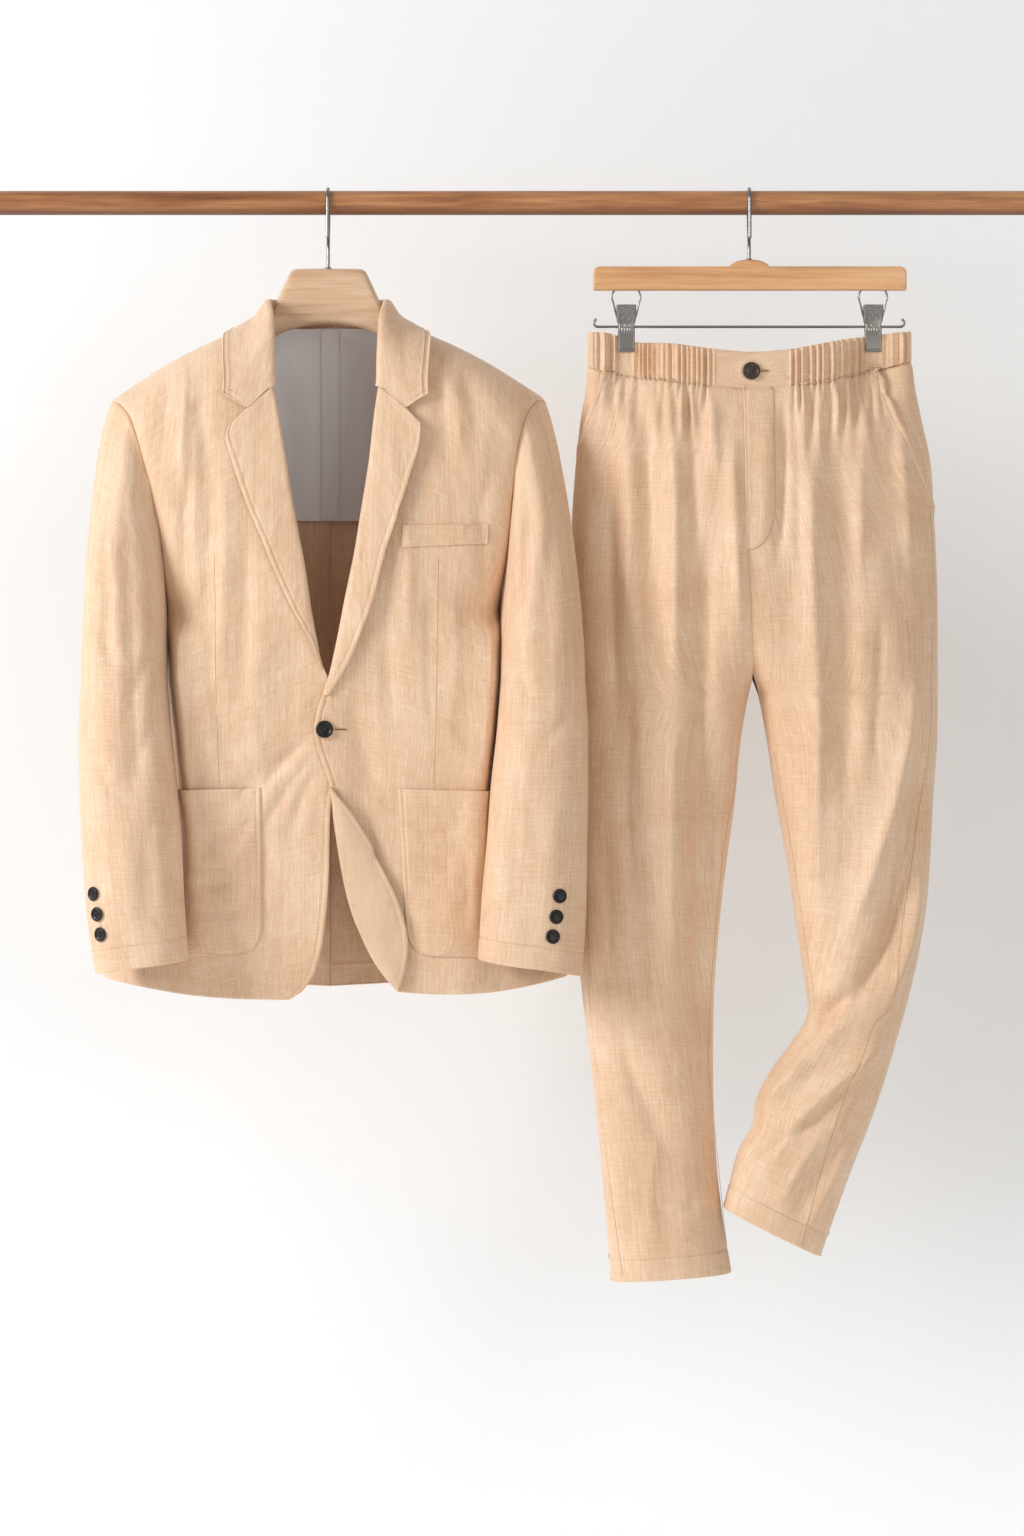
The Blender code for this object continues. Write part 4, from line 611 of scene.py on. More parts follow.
def linen(name, light, mid, dark, strength=1.0):
    """Yarns as stretched noise in colour and height, over soft blotches, long streaks and small crumples.
    Each row of YARNS gives the noise's two scales and its share of the colour."""
    skin = Finish(name, Roughness=0.62, Specular_IOR_Level=0.55, Sheen_Weight=0.18, Sheen_Roughness=0.45)
    place = skin.coords("UV")
    yarn = {k: place.noise((across, down, 1.0), 3.0, 0.62, shift=(0.37 * i, 0.71 * i, 0.0))
            for i, (k, (across, down, _)) in enumerate(YARNS.items())}
    weave = place.noise((760.0, 760.0, 1.0), 2.0, 0.7)
    mottle = place.noise((17.0, 13.0, 1.0), 3.0, 0.55, shift=(4.0, 2.0, 0.0))
    cloud = place.noise((5.0, 4.0, 1.0), 2.0, 0.5, shift=(1.0, 7.0, 0.0))
    streak = place.noise((62.0, 5.0, 1.0), 3.0, 0.6, shift=(2.0, 3.0, 0.0))
    parts = [(yarn[k], YARNS[k][2]) for k in YARNS] + [(mottle, 0.34), (cloud, 0.3), (streak, 0.22)]
    tone = (weave - 0.5) * 0.3 + 0.5
    for part, share in parts:
        tone = tone + (part - 0.5) * (share * strength)
    tint = tone.clamped().ramp(dark, mid, light)
    crumple = place.noise((58.0, 44.0, 1.0), 2.0, 0.5, shift=(3.0, 1.0, 0.0))
    crease = place.noise((24.0, 17.0, 1.0), 2.0, 0.45, (0.0, 0.0, 0.5), (9.0, 5.0, 0.0))
    fine = yarn["warp"] * 0.35 + yarn["weft"] * 0.35 + yarn["slub"] * 0.2 + weave * 0.45
    soft = (crumple * 0.45 + crease).bump(0.0052, 0.5)
    skin.link(Base_Color=tint, Normal=fine.bump(0.00045, 0.55, soft))
    return skin.material


blazer_linen = linen("blazer_linen", (253, 236, 213), (226, 190, 156), (186, 136, 92))
trouser_linen = linen("trouser_linen", (253, 236, 213), (226, 190, 156), (187, 137, 93))
linen_inside = linen("linen_inside", (236, 210, 182), (216, 184, 152), (184, 148, 114), 0.8)
# The lining's own light grey, made paler: painted light standing in for light inside the shaded neck.
lining_cloth = linen("back_neck_lining", (250, 250, 252), (243, 243, 246), (230, 230, 234), 0.25)


def hermite(t, start, leave, end, arrive):
    """Cubic from start to end that leaves and arrives at the slopes given, t running from 0 to 1."""
    return (start * (1 + 2 * t) * (1 - t) ** 2 + leave * t * (1 - t) ** 2
            + end * t * t * (3 - 2 * t) + arrive * t * t * (t - 1))


def smooth(x, xs, ys):
    """Monotone cubic through the points (xs, ys), level beyond the ends."""
    xs, ys = np.asarray(xs, float), np.asarray(ys, float)
    x = np.clip(np.asarray(x, float), xs[0], xs[-1])
    step = np.diff(xs)
    slope = np.diff(ys) / step
    before, after = slope[:-1], slope[1:]
    joint = np.where(before * after > 0, 2 * before * after / (before + after + 1e-12), 0.0)
    tangent = np.concatenate([[slope[0]], joint, [slope[-1]]])
    i = np.clip(np.searchsorted(xs, x, side="right") - 1, 0, len(step) - 1)
    t = (x - xs[i]) / step[i]
    return hermite(t, ys[i], tangent[i] * step[i], ys[i + 1], tangent[i + 1] * step[i])


def smoothstep(t):
    """0 below 0, 1 above 1 and an even S between, by 3 t^2 - 2 t^3."""
    t = np.clip(t, 0, 1)
    return t * t * (3 - 2 * t)


def columns(names, rows):
    """A table as a dictionary of its named columns."""
    return dict(zip(names.split(), np.array(rows, float).T))


def drifted(rows, at):
    """A table read between its rows."""
    index = np.arange(len(rows["in_a"]), dtype=float)
    return {k: refined(v, 0, at) if k != "closure" else np.interp(at, index, v)
            for k, v in rows.items()}


def between(rows, share):
    """Places (a, d) a share of the way from the inner to the outer end of each row of a table."""
    return [rows[f"in_{k}"][:, None] * (1 - share) + rows[f"out_{k}"][:, None] * share for k in "ad"]


def edged(count):
    """Shares from 0 to 1 across a panel, closer together at its ends."""
    t = np.linspace(0, 1, count)
    return t - np.sin(2 * np.pi * t) / (2 * np.pi) * 0.75


# The first grid lines beside an edge, in millimetres from it: a free edge with its stitching, a sewn one, a
# hem and one tucked out of sight.
FREE = (0.0, 0.5, 1.0, 1.6, 2.3, 3.1, 4.0, 4.8, 5.4, 6.0, 6.6, 7.3, 8.4)
SEWN = (0.0, 0.7, 1.5, 2.5, 4.0)
HEM = (0.0, 0.6, 1.3, 2.2, 3.4)
TUCKED = (0.0, 0.5, 1.0, 1.6, 2.3, 3.1, 4.0, 5.2, 6.6, 8.2)


def placed(total, pace, start=SEWN, end=SEWN, extra=()):
    """Shares of a length in millimetres: set distances from both ends, set places and an even fill."""
    start, end = np.array(start), total - np.array(end)[::-1]
    fill = np.linspace(start[-1], end[0], max(2, int((end[0] - start[-1]) / pace) + 1))[1:-1]
    for at in extra:
        fill = fill[np.abs(fill - at) > pace * 0.6]
        fill = np.append(fill, at + np.array([-1.6, -0.8, 0.0, 0.8, 1.6]))
    return np.sort(np.concatenate([start, fill, end])) / total


def row_places(rows, pace, start=SEWN, end=SEWN, extra=()):
    """Row positions of a table, spaced about a pace apart in millimetres of its longer side."""
    step = np.maximum(np.hypot(np.diff(rows["in_a"]), np.diff(rows["in_d"])),
                      np.hypot(np.diff(rows["out_a"]), np.diff(rows["out_d"])))
    run = np.concatenate([[0], np.cumsum(step)])
    at = placed(run[-1], pace, start, end, [run[-1] - e for e in extra]) * run[-1]
    return np.interp(at, run, np.arange(len(run)))


def facing_normals(grid, facing):
    """Unit normals of a grid of points, facing a direction or, for None, away from each row's middle."""
    normal = np.cross(np.gradient(grid, axis=1), np.gradient(grid, axis=0))
    normal = normal / (np.linalg.norm(normal, axis=-1, keepdims=True) + 1e-12)
    if facing is None:
        out = grid - grid.mean(axis=1, keepdims=True)
        return normal * np.sign(np.sum(normal * out))
    return normal * np.sign(np.sum(normal @ np.array(facing, float)))


def raised(grid, height, facing):
    """A grid of millimetre points moved along its normals."""
    return grid + facing_normals(grid, facing) * np.asarray(height)[..., None]


def creases(table, a, d):
    """Troughs (negative) and ridges: bells across a bent line, sharper in their middle, with a low shoulder
    beside each, fading towards the ends. A row is: height, half width, then a and d of each point of the
    line."""
    total = np.zeros(np.broadcast(a, d).shape)
    a = a + 1.5 * np.sin(d / 58 + a / 41)
    for height, half, *line in table:
        line = np.reshape(line, (-1, 2)).astype(float)
        step = np.hypot(*np.diff(line, axis=0).T)
        start = np.concatenate([[0], np.cumsum(step)])
        best, where = np.full(total.shape, 1e9), np.zeros(total.shape)
        for p, q, run, size in zip(line[:-1], line[1:], start, step):
            t = np.clip(((a - p[0]) * (q[0] - p[0]) + (d - p[1]) * (q[1] - p[1])) / size**2, 0, 1)
            away = np.hypot(a - p[0] - t * (q[0] - p[0]), d - p[1] - t * (q[1] - p[1]))
            near = away < best
            best = np.where(near, away, best)
            where = np.where(near, (run + t * size) / start[-1], where)
        x = best / half
        shape = 0.55 * np.exp(-x**2) + 0.6 * np.exp(-3.2 * x**2) - 0.26 * np.exp(-((x - 2.1) ** 2) / 0.8)
        total += height * shape * smoothstep(where / 0.3) * smoothstep((1 - where) / 0.35)
    return total


def rumple(a, d, seed, size=1.0):
    """Slight unevenness of hanging cloth: bent plane waves 25 to 90 mm long, more across than down."""
    dice = np.random.default_rng(seed)
    a = a + 7 * np.sin(d / 37 + seed) + 4 * np.sin(d / 17 + a / 41)
    total = np.zeros(np.broadcast(a, d).shape)
    for _ in range(14):
        wave = dice.uniform(24, 90)
        turn = dice.normal(0, 0.5)
        share = dice.uniform(0, 2 * np.pi)
        swell = 0.6 + 0.4 * np.sin((a * dice.uniform(-1, 1) + d) / dice.uniform(60, 120) + dice.uniform(0, 6))
        total += wave / 190 * swell * np.sin((a * np.cos(turn) + d * np.sin(turn)) * 2 * np.pi / wave + share)
    return total * size * 0.36


def rim_distance(grid, sides):
    """Distance in millimetres of each grid point from the named edges: left, right, top, bottom."""
    runs = {"left": lengths(grid, 1), "top": lengths(grid, 0)}
    runs["right"] = runs["left"][:, -1:] - runs["left"]
    runs["bottom"] = runs["top"][-1:] - runs["top"]
    return np.min([runs[side] for side in sides.split()], axis=0)


def seam_dip(away, depth=0.9, wide=1.6):
    """The trough along a seam: a bell of the distance from it."""
    return -depth * np.exp(-((away / wide) ** 2))


def rolled_over(away, roll, drop):
    """Height near a finished edge: a quarter ellipse down to it."""
    over = np.clip(1 - away / roll, 0, 1)
    return -drop * (1 - np.sqrt(1 - over**2 + 1e-9))


def hem_shape(away, stitch=6.0, roll=2.2, drop=0.9):
    """Height near a stitched edge: rolled over at the edge, a puff, then the groove of its stitching."""
    return (rolled_over(away, roll, drop) + seam_dip(away - stitch / 2, -0.28, 2.2)
            + seam_dip(away - stitch, 0.5, 1.1))


def evened(run, rows=12):
    """Lengths along the rows, each replaced twice by its mean over some rows above and below, so that the
    threads hang straight across small folds."""
    for _ in range(2):
        total = np.cumsum(np.pad(run, ((rows + 1, rows), (0, 0)), mode="edge"), axis=0)
        run = (total[2 * rows + 1:] - total[:-2 * rows - 1]) / (2 * rows + 1)
    return run


def tube_uv(grid, run):
    """UV of a tube: the given run round it and the mean length down it, so that its rows stay level."""
    return np.stack([run, lengths(grid, 0).mean(axis=1, keepdims=True) + 0 * run], axis=-1)


def sewn_round(halves, joined):
    """A tube's grid from its front half and its back half, their rims made one along the joined rows."""
    grid = np.concatenate([halves[0], halves[1][:, ::-1][:, 1:]], axis=1)
    grid[joined, -1] = grid[joined, 0] = (grid[joined, 0] + grid[joined, -1]) / 2
    return grid


def cloth(name, grid, centre, side, material, facing, stands_for=(), wall=1.2, uv=None, tube=False):
    """A cloth sheet: a grid of outer points (a, y, d) thickened inwards. A tube's edges are joined."""
    points = world_points(grid, centre, side)
    faces = outward(points, quads_of(*grid.shape[:2]), facing)
    if uv is None:
        uv = np.stack([grid[:, :1, 0] + evened(lengths(grid, 1)), lengths(grid, 0) + grid[0, 0, 2]], axis=-1)
    spread = np.array([side, -1.0]) * MM * uv.reshape(-1, 2) + (0.0, (sum(map(ord, name)) % 97) * 0.013)
    piece = new_piece(name, points.reshape(-1, 3), faces, spread, material, stands_for)
    if tube:
        weld(piece.data, turn_out=False)
        piece.data.shade_smooth()
    rim_sharp(piece.data)
    return walled(piece, wall * MM)


def rim_sharp(mesh):
    """Marks open edges sharp, so that a panel's shading runs level up to its seam."""
    shape = bmesh.new()
    shape.from_mesh(mesh)
    for edge in shape.edges:
        if len(edge.link_faces) == 1:
            edge.smooth = False
    shape.to_mesh(mesh)
    shape.free()


def track(grid, facing, edge, inset, start=0.0, stop=1.0):
    """Points and normals along a grid, an inset in millimetres from one of its edges, from a start share of
    that edge to a stop share."""
    both = np.concatenate([grid, facing_normals(grid, facing)], axis=-1)
    both = {"left": both, "right": both[:, ::-1], "top": both.transpose(1, 0, 2),
            "bottom": both[::-1].transpose(1, 0, 2)}[edge]
    run = lengths(both[..., :3], 1)
    lo, hi = int(start * (len(run) - 1)), int(round(stop * (len(run) - 1))) + 1
    run, both = run[lo:hi], both[lo:hi]
    after = np.clip((run <= inset).sum(axis=1), 1, run.shape[1] - 1)[:, None]
    near, far = (np.take_along_axis(run, at, 1) for at in (after - 1, after))
    low, high = (np.take_along_axis(both, at[..., None], 1)[:, 0] for at in (after - 1, after))
    return low + (high - low) * np.clip((inset - near) / (far - near), 0, 1)


def settled(grid, facing, a, d):
    """Points and normals of a grid at places (a, d), by the tangent plane of the nearest grid point."""
    flat = grid.reshape(-1, 3)
    normal = facing_normals(grid, facing).reshape(-1, 3)
    places = np.stack([np.ravel(a), np.ravel(d)], axis=-1)
    near = np.concatenate([
        np.argmin((flat[:, 0] - part[:, :1]) ** 2 + (flat[:, 2] - part[:, 1:]) ** 2, axis=1)
        for part in np.array_split(places, 1 + len(places) // 40)])
    point, way = flat[near], normal[near]
    slope = (way[:, 0] * (places[:, 0] - point[:, 0]) + way[:, 2] * (places[:, 1] - point[:, 2])) / np.where(
        np.abs(way[:, 1]) < 0.3, 0.3 * np.sign(facing[1]), way[:, 1])
    made = np.stack([places[:, 0], point[:, 1] - slope, places[:, 1]], axis=-1)
    return np.concatenate([made, way], axis=-1).reshape(*np.shape(a), 6)


STITCH = {"long": 2.5, "gap": 1.2, "wide": 0.5, "high": 0.22, "sunk": 0.35}
STITCH_POINTS = np.array([(-0.5, -1, 0), (-0.5, 1, 0), (-0.3, 1, 1), (-0.3, -1, 1), (0.3, -1, 1), (0.3, 1, 1),
                          (0.5, 1, 0), (0.5, -1, 0)])
STITCH_FACES = np.array([(0, 1, 2, 3), (3, 2, 5, 4), (4, 5, 6, 7), (7, 6, 1, 0), (0, 3, 4, 7), (1, 6, 5, 2)])


def stitch_run(line, centre, side):
    """Stitches along a line of points and normals: short bars, each a box with a raised middle."""
    long, shape = STITCH["long"], STITCH_POINTS
    run = lengths(line[:, :3], 0)
    at = np.arange(long, run[-1] - long, long + STITCH["gap"])
    here, before, after = (np.stack([np.interp(at + off, run, line[:, k]) for k in range(6)], axis=-1)
                           for off in (0.0, -long / 2, long / 2))
    along, up = unit(after[:, :3] - before[:, :3]), unit(here[:, 3:])
    across = np.cross(along, up)
    points = (here[:, None, :3] + shape[None, :, :1] * long * along[:, None]
              + shape[None, :, 1:2] * STITCH["wide"] / 2 * across[:, None]
              + (shape[None, :, 2:] * (STITCH["high"] + STITCH["sunk"]) - STITCH["sunk"]) * up[:, None])
    faces = STITCH_FACES + len(shape) * np.arange(len(at))[:, None, None]
    return world_points(points.reshape(-1, 3), centre, side), faces.reshape(-1, 4)


def stitching(name, runs, material):
    """All the stitches of a garment as one mesh."""
    starts = np.cumsum([0] + [len(made) for made, _ in runs])
    points = np.concatenate([made for made, _ in runs])
    faces = np.concatenate([quads + start for (_, quads), start in zip(runs, starts)])
    piece = new_piece(name, points, faces, points[:, [0, 2]], material)
    weld(piece.data)
    piece.data.shade_flat()


def hem_stitches(grid, inset, centre, side, more=0):
    """Stitches an inset above the hem of a tube, along its front part and then its back part."""
    middle = grid.shape[1] // 2 + more
    return [stitch_run(track(part, way, "bottom", inset), centre, side)
            for part, way in ((grid[:, :middle], AHEAD), (grid[:, middle:], BEHIND))]


def ribbon(line, centre, side, wide, high):
    """A narrow raised strip along a line of points and normals, closed at its ends."""
    across = unit(np.cross(np.gradient(line[:, :3], axis=0), line[:, 3:]))
    up = unit(line[:, 3:])
    shape = [(-0.5, -0.3), (-0.3, high), (0.3, high), (0.5, -0.3), (-0.5, -0.3)]
    ring = np.stack([line[:, :3] + x * wide * across + z * up for x, z in shape], axis=1)
    ends = [np.repeat(ring[k].mean(axis=0)[None], 5, 0)[None] for k in (0, -1)]
    return world_points(np.concatenate([ends[0], ring, ends[1]]), centre, side)


# Blazer fronts: each cut from the shoulder to a rounded hem, its neckline rolled back as the lapel, its side
# tucked behind the sleeve, a dart down the chest and a few soft drags towards the button.

FRONT_ROWS = {
    -1: columns("in_a in_d out_a out_d bow", [
        (66, 124, 226, 207, -8), (65.5, 126.2, 226, 209.4, -8), (65.5, 142, 217, 213, -6),
        (62, 170, 206, 226, -2), (57.5, 198, 198, 246, 0), (47, 240, 190, 275, 0), (36, 295, 180, 314, 0),
        (26, 360, 171, 364, 0), (15, 430, 168, 428, 0), (7, 466, 177, 462, 0), (-3, 500, 182, 500, 0),
        (-13, 540, 194, 540, 0), (-13, 585, 208, 585, 0), (-5, 640, 215, 640, 0), (-3, 700, 221, 698, 0),
        (1, 755, 228, 746, 1), (9, 798, 233, 782, 3), (22, 822, 235, 801, 5), (38, 834, 236, 812, 7),
    ]),
    1: columns("in_a in_d out_a out_d bow", [
        (66, 124, 226, 205, -8), (65.5, 126.2, 226, 207.4, -8), (65.5, 142, 218, 211, -6),
        (62, 170, 209, 224, -2), (58, 198, 203, 243, 0), (50, 245, 197, 273, 0), (42, 300, 194, 312, 0),
        (31, 360, 190, 360, 0), (16, 440, 180, 428, 0), (9, 475, 189, 466, 0), (0.5, 506, 194, 502, 0),
        (-8.5, 535, 200, 535, 0), (-11.6, 555, 205, 555, 0), (-7.6, 575, 210, 575, 0), (4, 611, 214, 612, 0),
        (9, 655, 219, 655, 0), (19, 715, 227, 710, 0), (33, 760, 239, 750, 2), (51, 797, 247, 785, 5),
        (74, 826, 252, 811, 9),
    ]),
}
BODY = columns("d chest back edge_front edge_back tuck", [
    (120, -60, 60, -50, 46, 0), (207, -65, 66, -50, 46, 0), (330, -73, 74, -50, 46, 0),
    (389, -77, 77, -38, 38, 0), (428, -78, 78, -5, -5, 0), (462, -78, 77, 18, 18, 0.8),
    (500, -77, 75, 34, 34, 1), (570, -73, 71, 38, 38, 1), (620, -68, 68, 32, 32, 0.95),
    (700, -61, 64, 16, 16, 0.5), (790, -56, 60, 6, 6, 0.05), (840, -54, 58, 5, 5, 0),
])
SLEEVE_RINGS = {
    -1: columns("in_a in_d out_a out_d y half", [
        (165, 500, 254, 500, -55, 55), (160, 556, 256, 556, -62, 52), (154, 612, 255, 612, -68, 49),
        (149, 668, 252, 668, -74, 46), (146, 724, 248, 726, -79, 43), (141, 791, 237, 806, -85, 40),
    ]),
    1: columns("in_a in_d out_a out_d y half", [
        (181, 500, 269, 500, -55, 55), (177, 556, 272, 556, -62, 52), (171, 612, 272, 612, -68, 49),
        (167, 668, 271, 668, -74, 46), (162, 724, 270, 726, -79, 43), (158, 789, 266, 806, -85, 41),
    ]),
}
SHOULDER_ROUND, NAPE_ROUND, NAPE, NECK_WIDE = 66.0, 50.0, 121.3, 66.0
NEARBY = 0.6
TUCK_START, TUCK_WIDE, OVERLAP = {-1: 13, 1: 9}, 28, 3.4
FRONT_CREASES = {
    -1: [
        (2, 10, 108, 260, 104, 380, 107, 500), (-2.2, 13, 128, 220, 121, 340, 124, 480),
        (-2, 12, 84, 330, 81, 430, 88, 540), (-1.6, 12, 134, 200, 126, 280),
        (2.2, 15, 66, 420, 74, 540, 60, 640), (-3, 11, 12, 560, 70, 604, 120, 650),
        (-3.5, 12, 144, 270, 148, 430), (2.5, 9, 146, 150, 150, 260, 146, 330),
        (-2.4, 8, 62, 640, 66, 720, 58, 800), (2.2, 8, 150, 470, 146, 560, 150, 640),
        (-1.8, 5, 13, 561, 44, 590, 84, 634), (-1.6, 5, 9, 576, 36, 612, 70, 662),
        (-1.4, 6, 8, 588, 26, 632, 46, 690), (-1.6, 8, 184, 285, 170, 350, 160, 425),
        (1.2, 9, 132, 215, 138, 330, 128, 430), (-1.2, 7, 100, 600, 118, 500, 114, 380),
        (-1.5, 8, 40, 700, 48, 760, 44, 810), (1.4, 10, 150, 560, 158, 640, 150, 760),
    ],
    1: [
        (-1.6, 11, 108, 150, 142, 190, 172, 240), (2, 11, 122, 160, 138, 220, 148, 300),
        (-1.5, 11, 110, 180, 124, 240, 130, 320), (1.3, 10, 160, 190, 166, 250, 164, 330),
        (-3.5, 22, 26, 500, 34, 560, 58, 640), (1.8, 11, 84, 300, 88, 380, 84, 470),
        (2.2, 16, 96, 440, 110, 600), (-1.8, 11, 66, 380, 62, 470, 66, 570),
        (-1.7, 9, 108, 395, 104, 480, 110, 590), (1.6, 9, 131, 380, 134, 480, 126, 600),
        (-1.4, 8, 176, 260, 160, 330, 164, 420), (-1.4, 7, 20, 600, 44, 650, 60, 720),
        (1.5, 10, 158, 560, 150, 660, 160, 770),
    ],
}
BACK_CREASES = {
    -1: [
        (3, 18, 60, 300, 70, 620), (-4.5, 18, 120, 420, 128, 760), (4.5, 16, 30, 520, 36, 780),
        (-2, 10, 20, 190, 80, 214, 150, 250), (-1.8, 9, 60, 450, 110, 430, 160, 440),
        (-1.6, 8, 90, 640, 130, 600, 180, 590), (1.6, 9, 150, 560, 160, 700, 150, 790),
    ],
    1: [
        (3, 18, 64, 280, 58, 600), (-4.5, 18, 112, 400, 124, 740), (4.5, 16, 26, 560, 40, 790),
        (-2, 9, 24, 200, 76, 222, 140, 262), (-1.7, 10, 50, 470, 100, 455, 168, 452),
        (-1.6, 8, 70, 700, 120, 640, 176, 610), (1.4, 9, 160, 540, 150, 660, 158, 780),
    ],
}


def side_seam(side, d):
    """Sideways place of the side seam at a level."""
    return smooth(d, FRONT_ROWS[side]["out_d"], FRONT_ROWS[side]["out_a"])


def body_at(d, *names):
    """Columns of BODY read at a level."""
    return [smooth(d, BODY["d"], BODY[name]) for name in names]


def over_shoulder(side, a, d, round_):
    """Share of the full depth that is left near the shoulder line, a quarter round of a given height."""
    drop = np.clip((d - shoulder_line(side, a)) / round_, 0, 1)
    return np.sqrt(1 - (1 - drop) ** 2)


def seams_spared(side, a, d):
    """0 at the side seam and the shoulder line, where folds die out, and 1 away from them."""
    return smoothstep((side_seam(side, d) - np.abs(a)) / 22) * smoothstep((d - shoulder_line(side, a)) / 30)


def front_y(side, a, d):
    """Depth of the blazer's front: a flat ellipse across, tucked in behind the sleeve, rounded over the
    shoulder, the left front lifted where it lies over the right one."""
    edge, chest, tuck = body_at(d, "edge_front", "chest", "tuck")
    t = np.clip(np.abs(a) / side_seam(side, d), 0, 1)
    sleeve = smooth(d, SLEEVE_RINGS[side]["in_d"], SLEEVE_RINGS[side]["in_a"])
    tucked = 1 - smoothstep((np.abs(a) - sleeve + TUCK_START[side]) / TUCK_WIDE)
    across = (1 - tuck) * (1 - t**3) ** (1 / 3) + tuck * tucked
    y = (edge + (chest - edge) * across) * over_shoulder(side, a, d, SHOULDER_ROUND)
    if side == 1:
        y = y - OVERLAP * smoothstep((45 - a) / 30) * smoothstep((d - 440) / 55) * smoothstep((740 - d) / 90)
    return y


def back_y(side, a, d):
    """Depth of the blazer's back: a rounder ellipse across, rounded over the shoulder."""
    edge, back = body_at(d, "edge_back", "back")
    t = np.clip(np.abs(a) / side_seam(side, d), 0, 1)
    return (edge + (back - edge) * (1 - t**2.6) ** (1 / 2.6)) * over_shoulder(side, a, d, NAPE_ROUND)


def front_surface(side, a, d):
    """Points of a front with its creases, before its seams are marked."""
    fold = creases(FRONT_CREASES[side], a, d) + rumple(a, d, 11 + side, 1.3)
    return np.stack([a, front_y(side, a, d) - fold * seams_spared(side, a, d), d], axis=-1)


def on_front(side, a, d, height):
    """Points a height off a front's surface."""
    by_a = front_surface(side, a + NEARBY, d) - front_surface(side, a - NEARBY, d)
    by_d = front_surface(side, a, d + NEARBY) - front_surface(side, a, d - NEARBY)
    normal = unit(np.cross(by_a, by_d))
    return front_surface(side, a, d) - normal * np.sign(normal[..., 1:2]) * np.asarray(height)[..., None]


SIDES = {-1: "right", 1: "left"}
LOW_TURN, PANEL_WIDE = 22.0, 205.0
front_grids = {}
for side in (-1, 1):
    rows = drifted(FRONT_ROWS[side], row_places(FRONT_ROWS[side], 4.0, SEWN, HEM, (LOW_TURN,)))
    share = placed(PANEL_WIDE, 3.0, FREE, TUCKED)
    rows["in_a"] += 2.2 * smoothstep((rows["in_d"] - 150) / 20) * smoothstep((505 - rows["in_d"]) / 20)
    a, d = between(rows, share)
    grid = front_surface(side, a, d + rows["bow"][:, None] * np.sin(np.pi * share))
    height = (seam_dip(rim_distance(grid, "right"), 0.6, 1.6) + seam_dip(rim_distance(grid, "top"), 0.7)
              + hem_shape(rim_distance(grid, "bottom"), LOW_TURN)
              + hem_shape(rim_distance(grid, "left")) * smoothstep((rows["in_d"] - 500) / 12)[:, None])
    front_grids[side] = raised(grid, height, AHEAD)
    piece = cloth(f"front_{SIDES[side]}", front_grids[side], JACKET_X, side, blazer_linen,
                  AHEAD, [f"jacket_front_{SIDES[side]}"])


# Blazer back: two panels to a seam down the middle, smooth over the hanger, in long soft folds below. Their
# side edges run in behind the sleeves.

for side in (-1, 1):
    front = FRONT_ROWS[side]
    centre = smooth(front["out_d"], [205, 300, 428, 811], [NAPE, 270, 428, 825])
    table = {"in_a": 0 * centre, "in_d": centre, "out_a": front["out_a"], "out_d": front["out_d"]}
    rows = drifted(table, row_places(table, 6.0, SEWN, HEM, (LOW_TURN,)))
    a, d = between(rows, placed(PANEL_WIDE, 5.0, SEWN, TUCKED))
    nape = NAPE + (shoulder_line(side, NECK_WIDE) - NAPE) * (a[0] / NECK_WIDE) ** 3
    top = np.where(a[0] < NECK_WIDE, nape, shoulder_line(side, a[0]))
    d = d + (1 - smoothstep((d - d[0]) / 170.0)) * (top - d[0])
    fold = creases(BACK_CREASES[side], a, d) + rumple(a, d, 31 + side, 0.9)
    y = back_y(side, a, d) + fold * seams_spared(side, a, d) * smoothstep(a / 14)
    grid = np.stack([a, y, d], axis=-1)
    height = (seam_dip(rim_distance(grid, "left right")) + seam_dip(rim_distance(grid, "top"), 0.7)
              + hem_shape(rim_distance(grid, "bottom"), LOW_TURN))
    grid = raised(grid, height, BEHIND)
    grid[:, 0, 0] = 0.0
    piece = cloth(f"back_{SIDES[side]}", grid, JACKET_X, side, blazer_linen, BEHIND,
                  [f"jacket_back_{SIDES[side]}"])


# Sleeves: two-piece tubes set into the armholes with a slightly full head, hanging a little forward, with
# bent creases at the elbow and open cuffs.

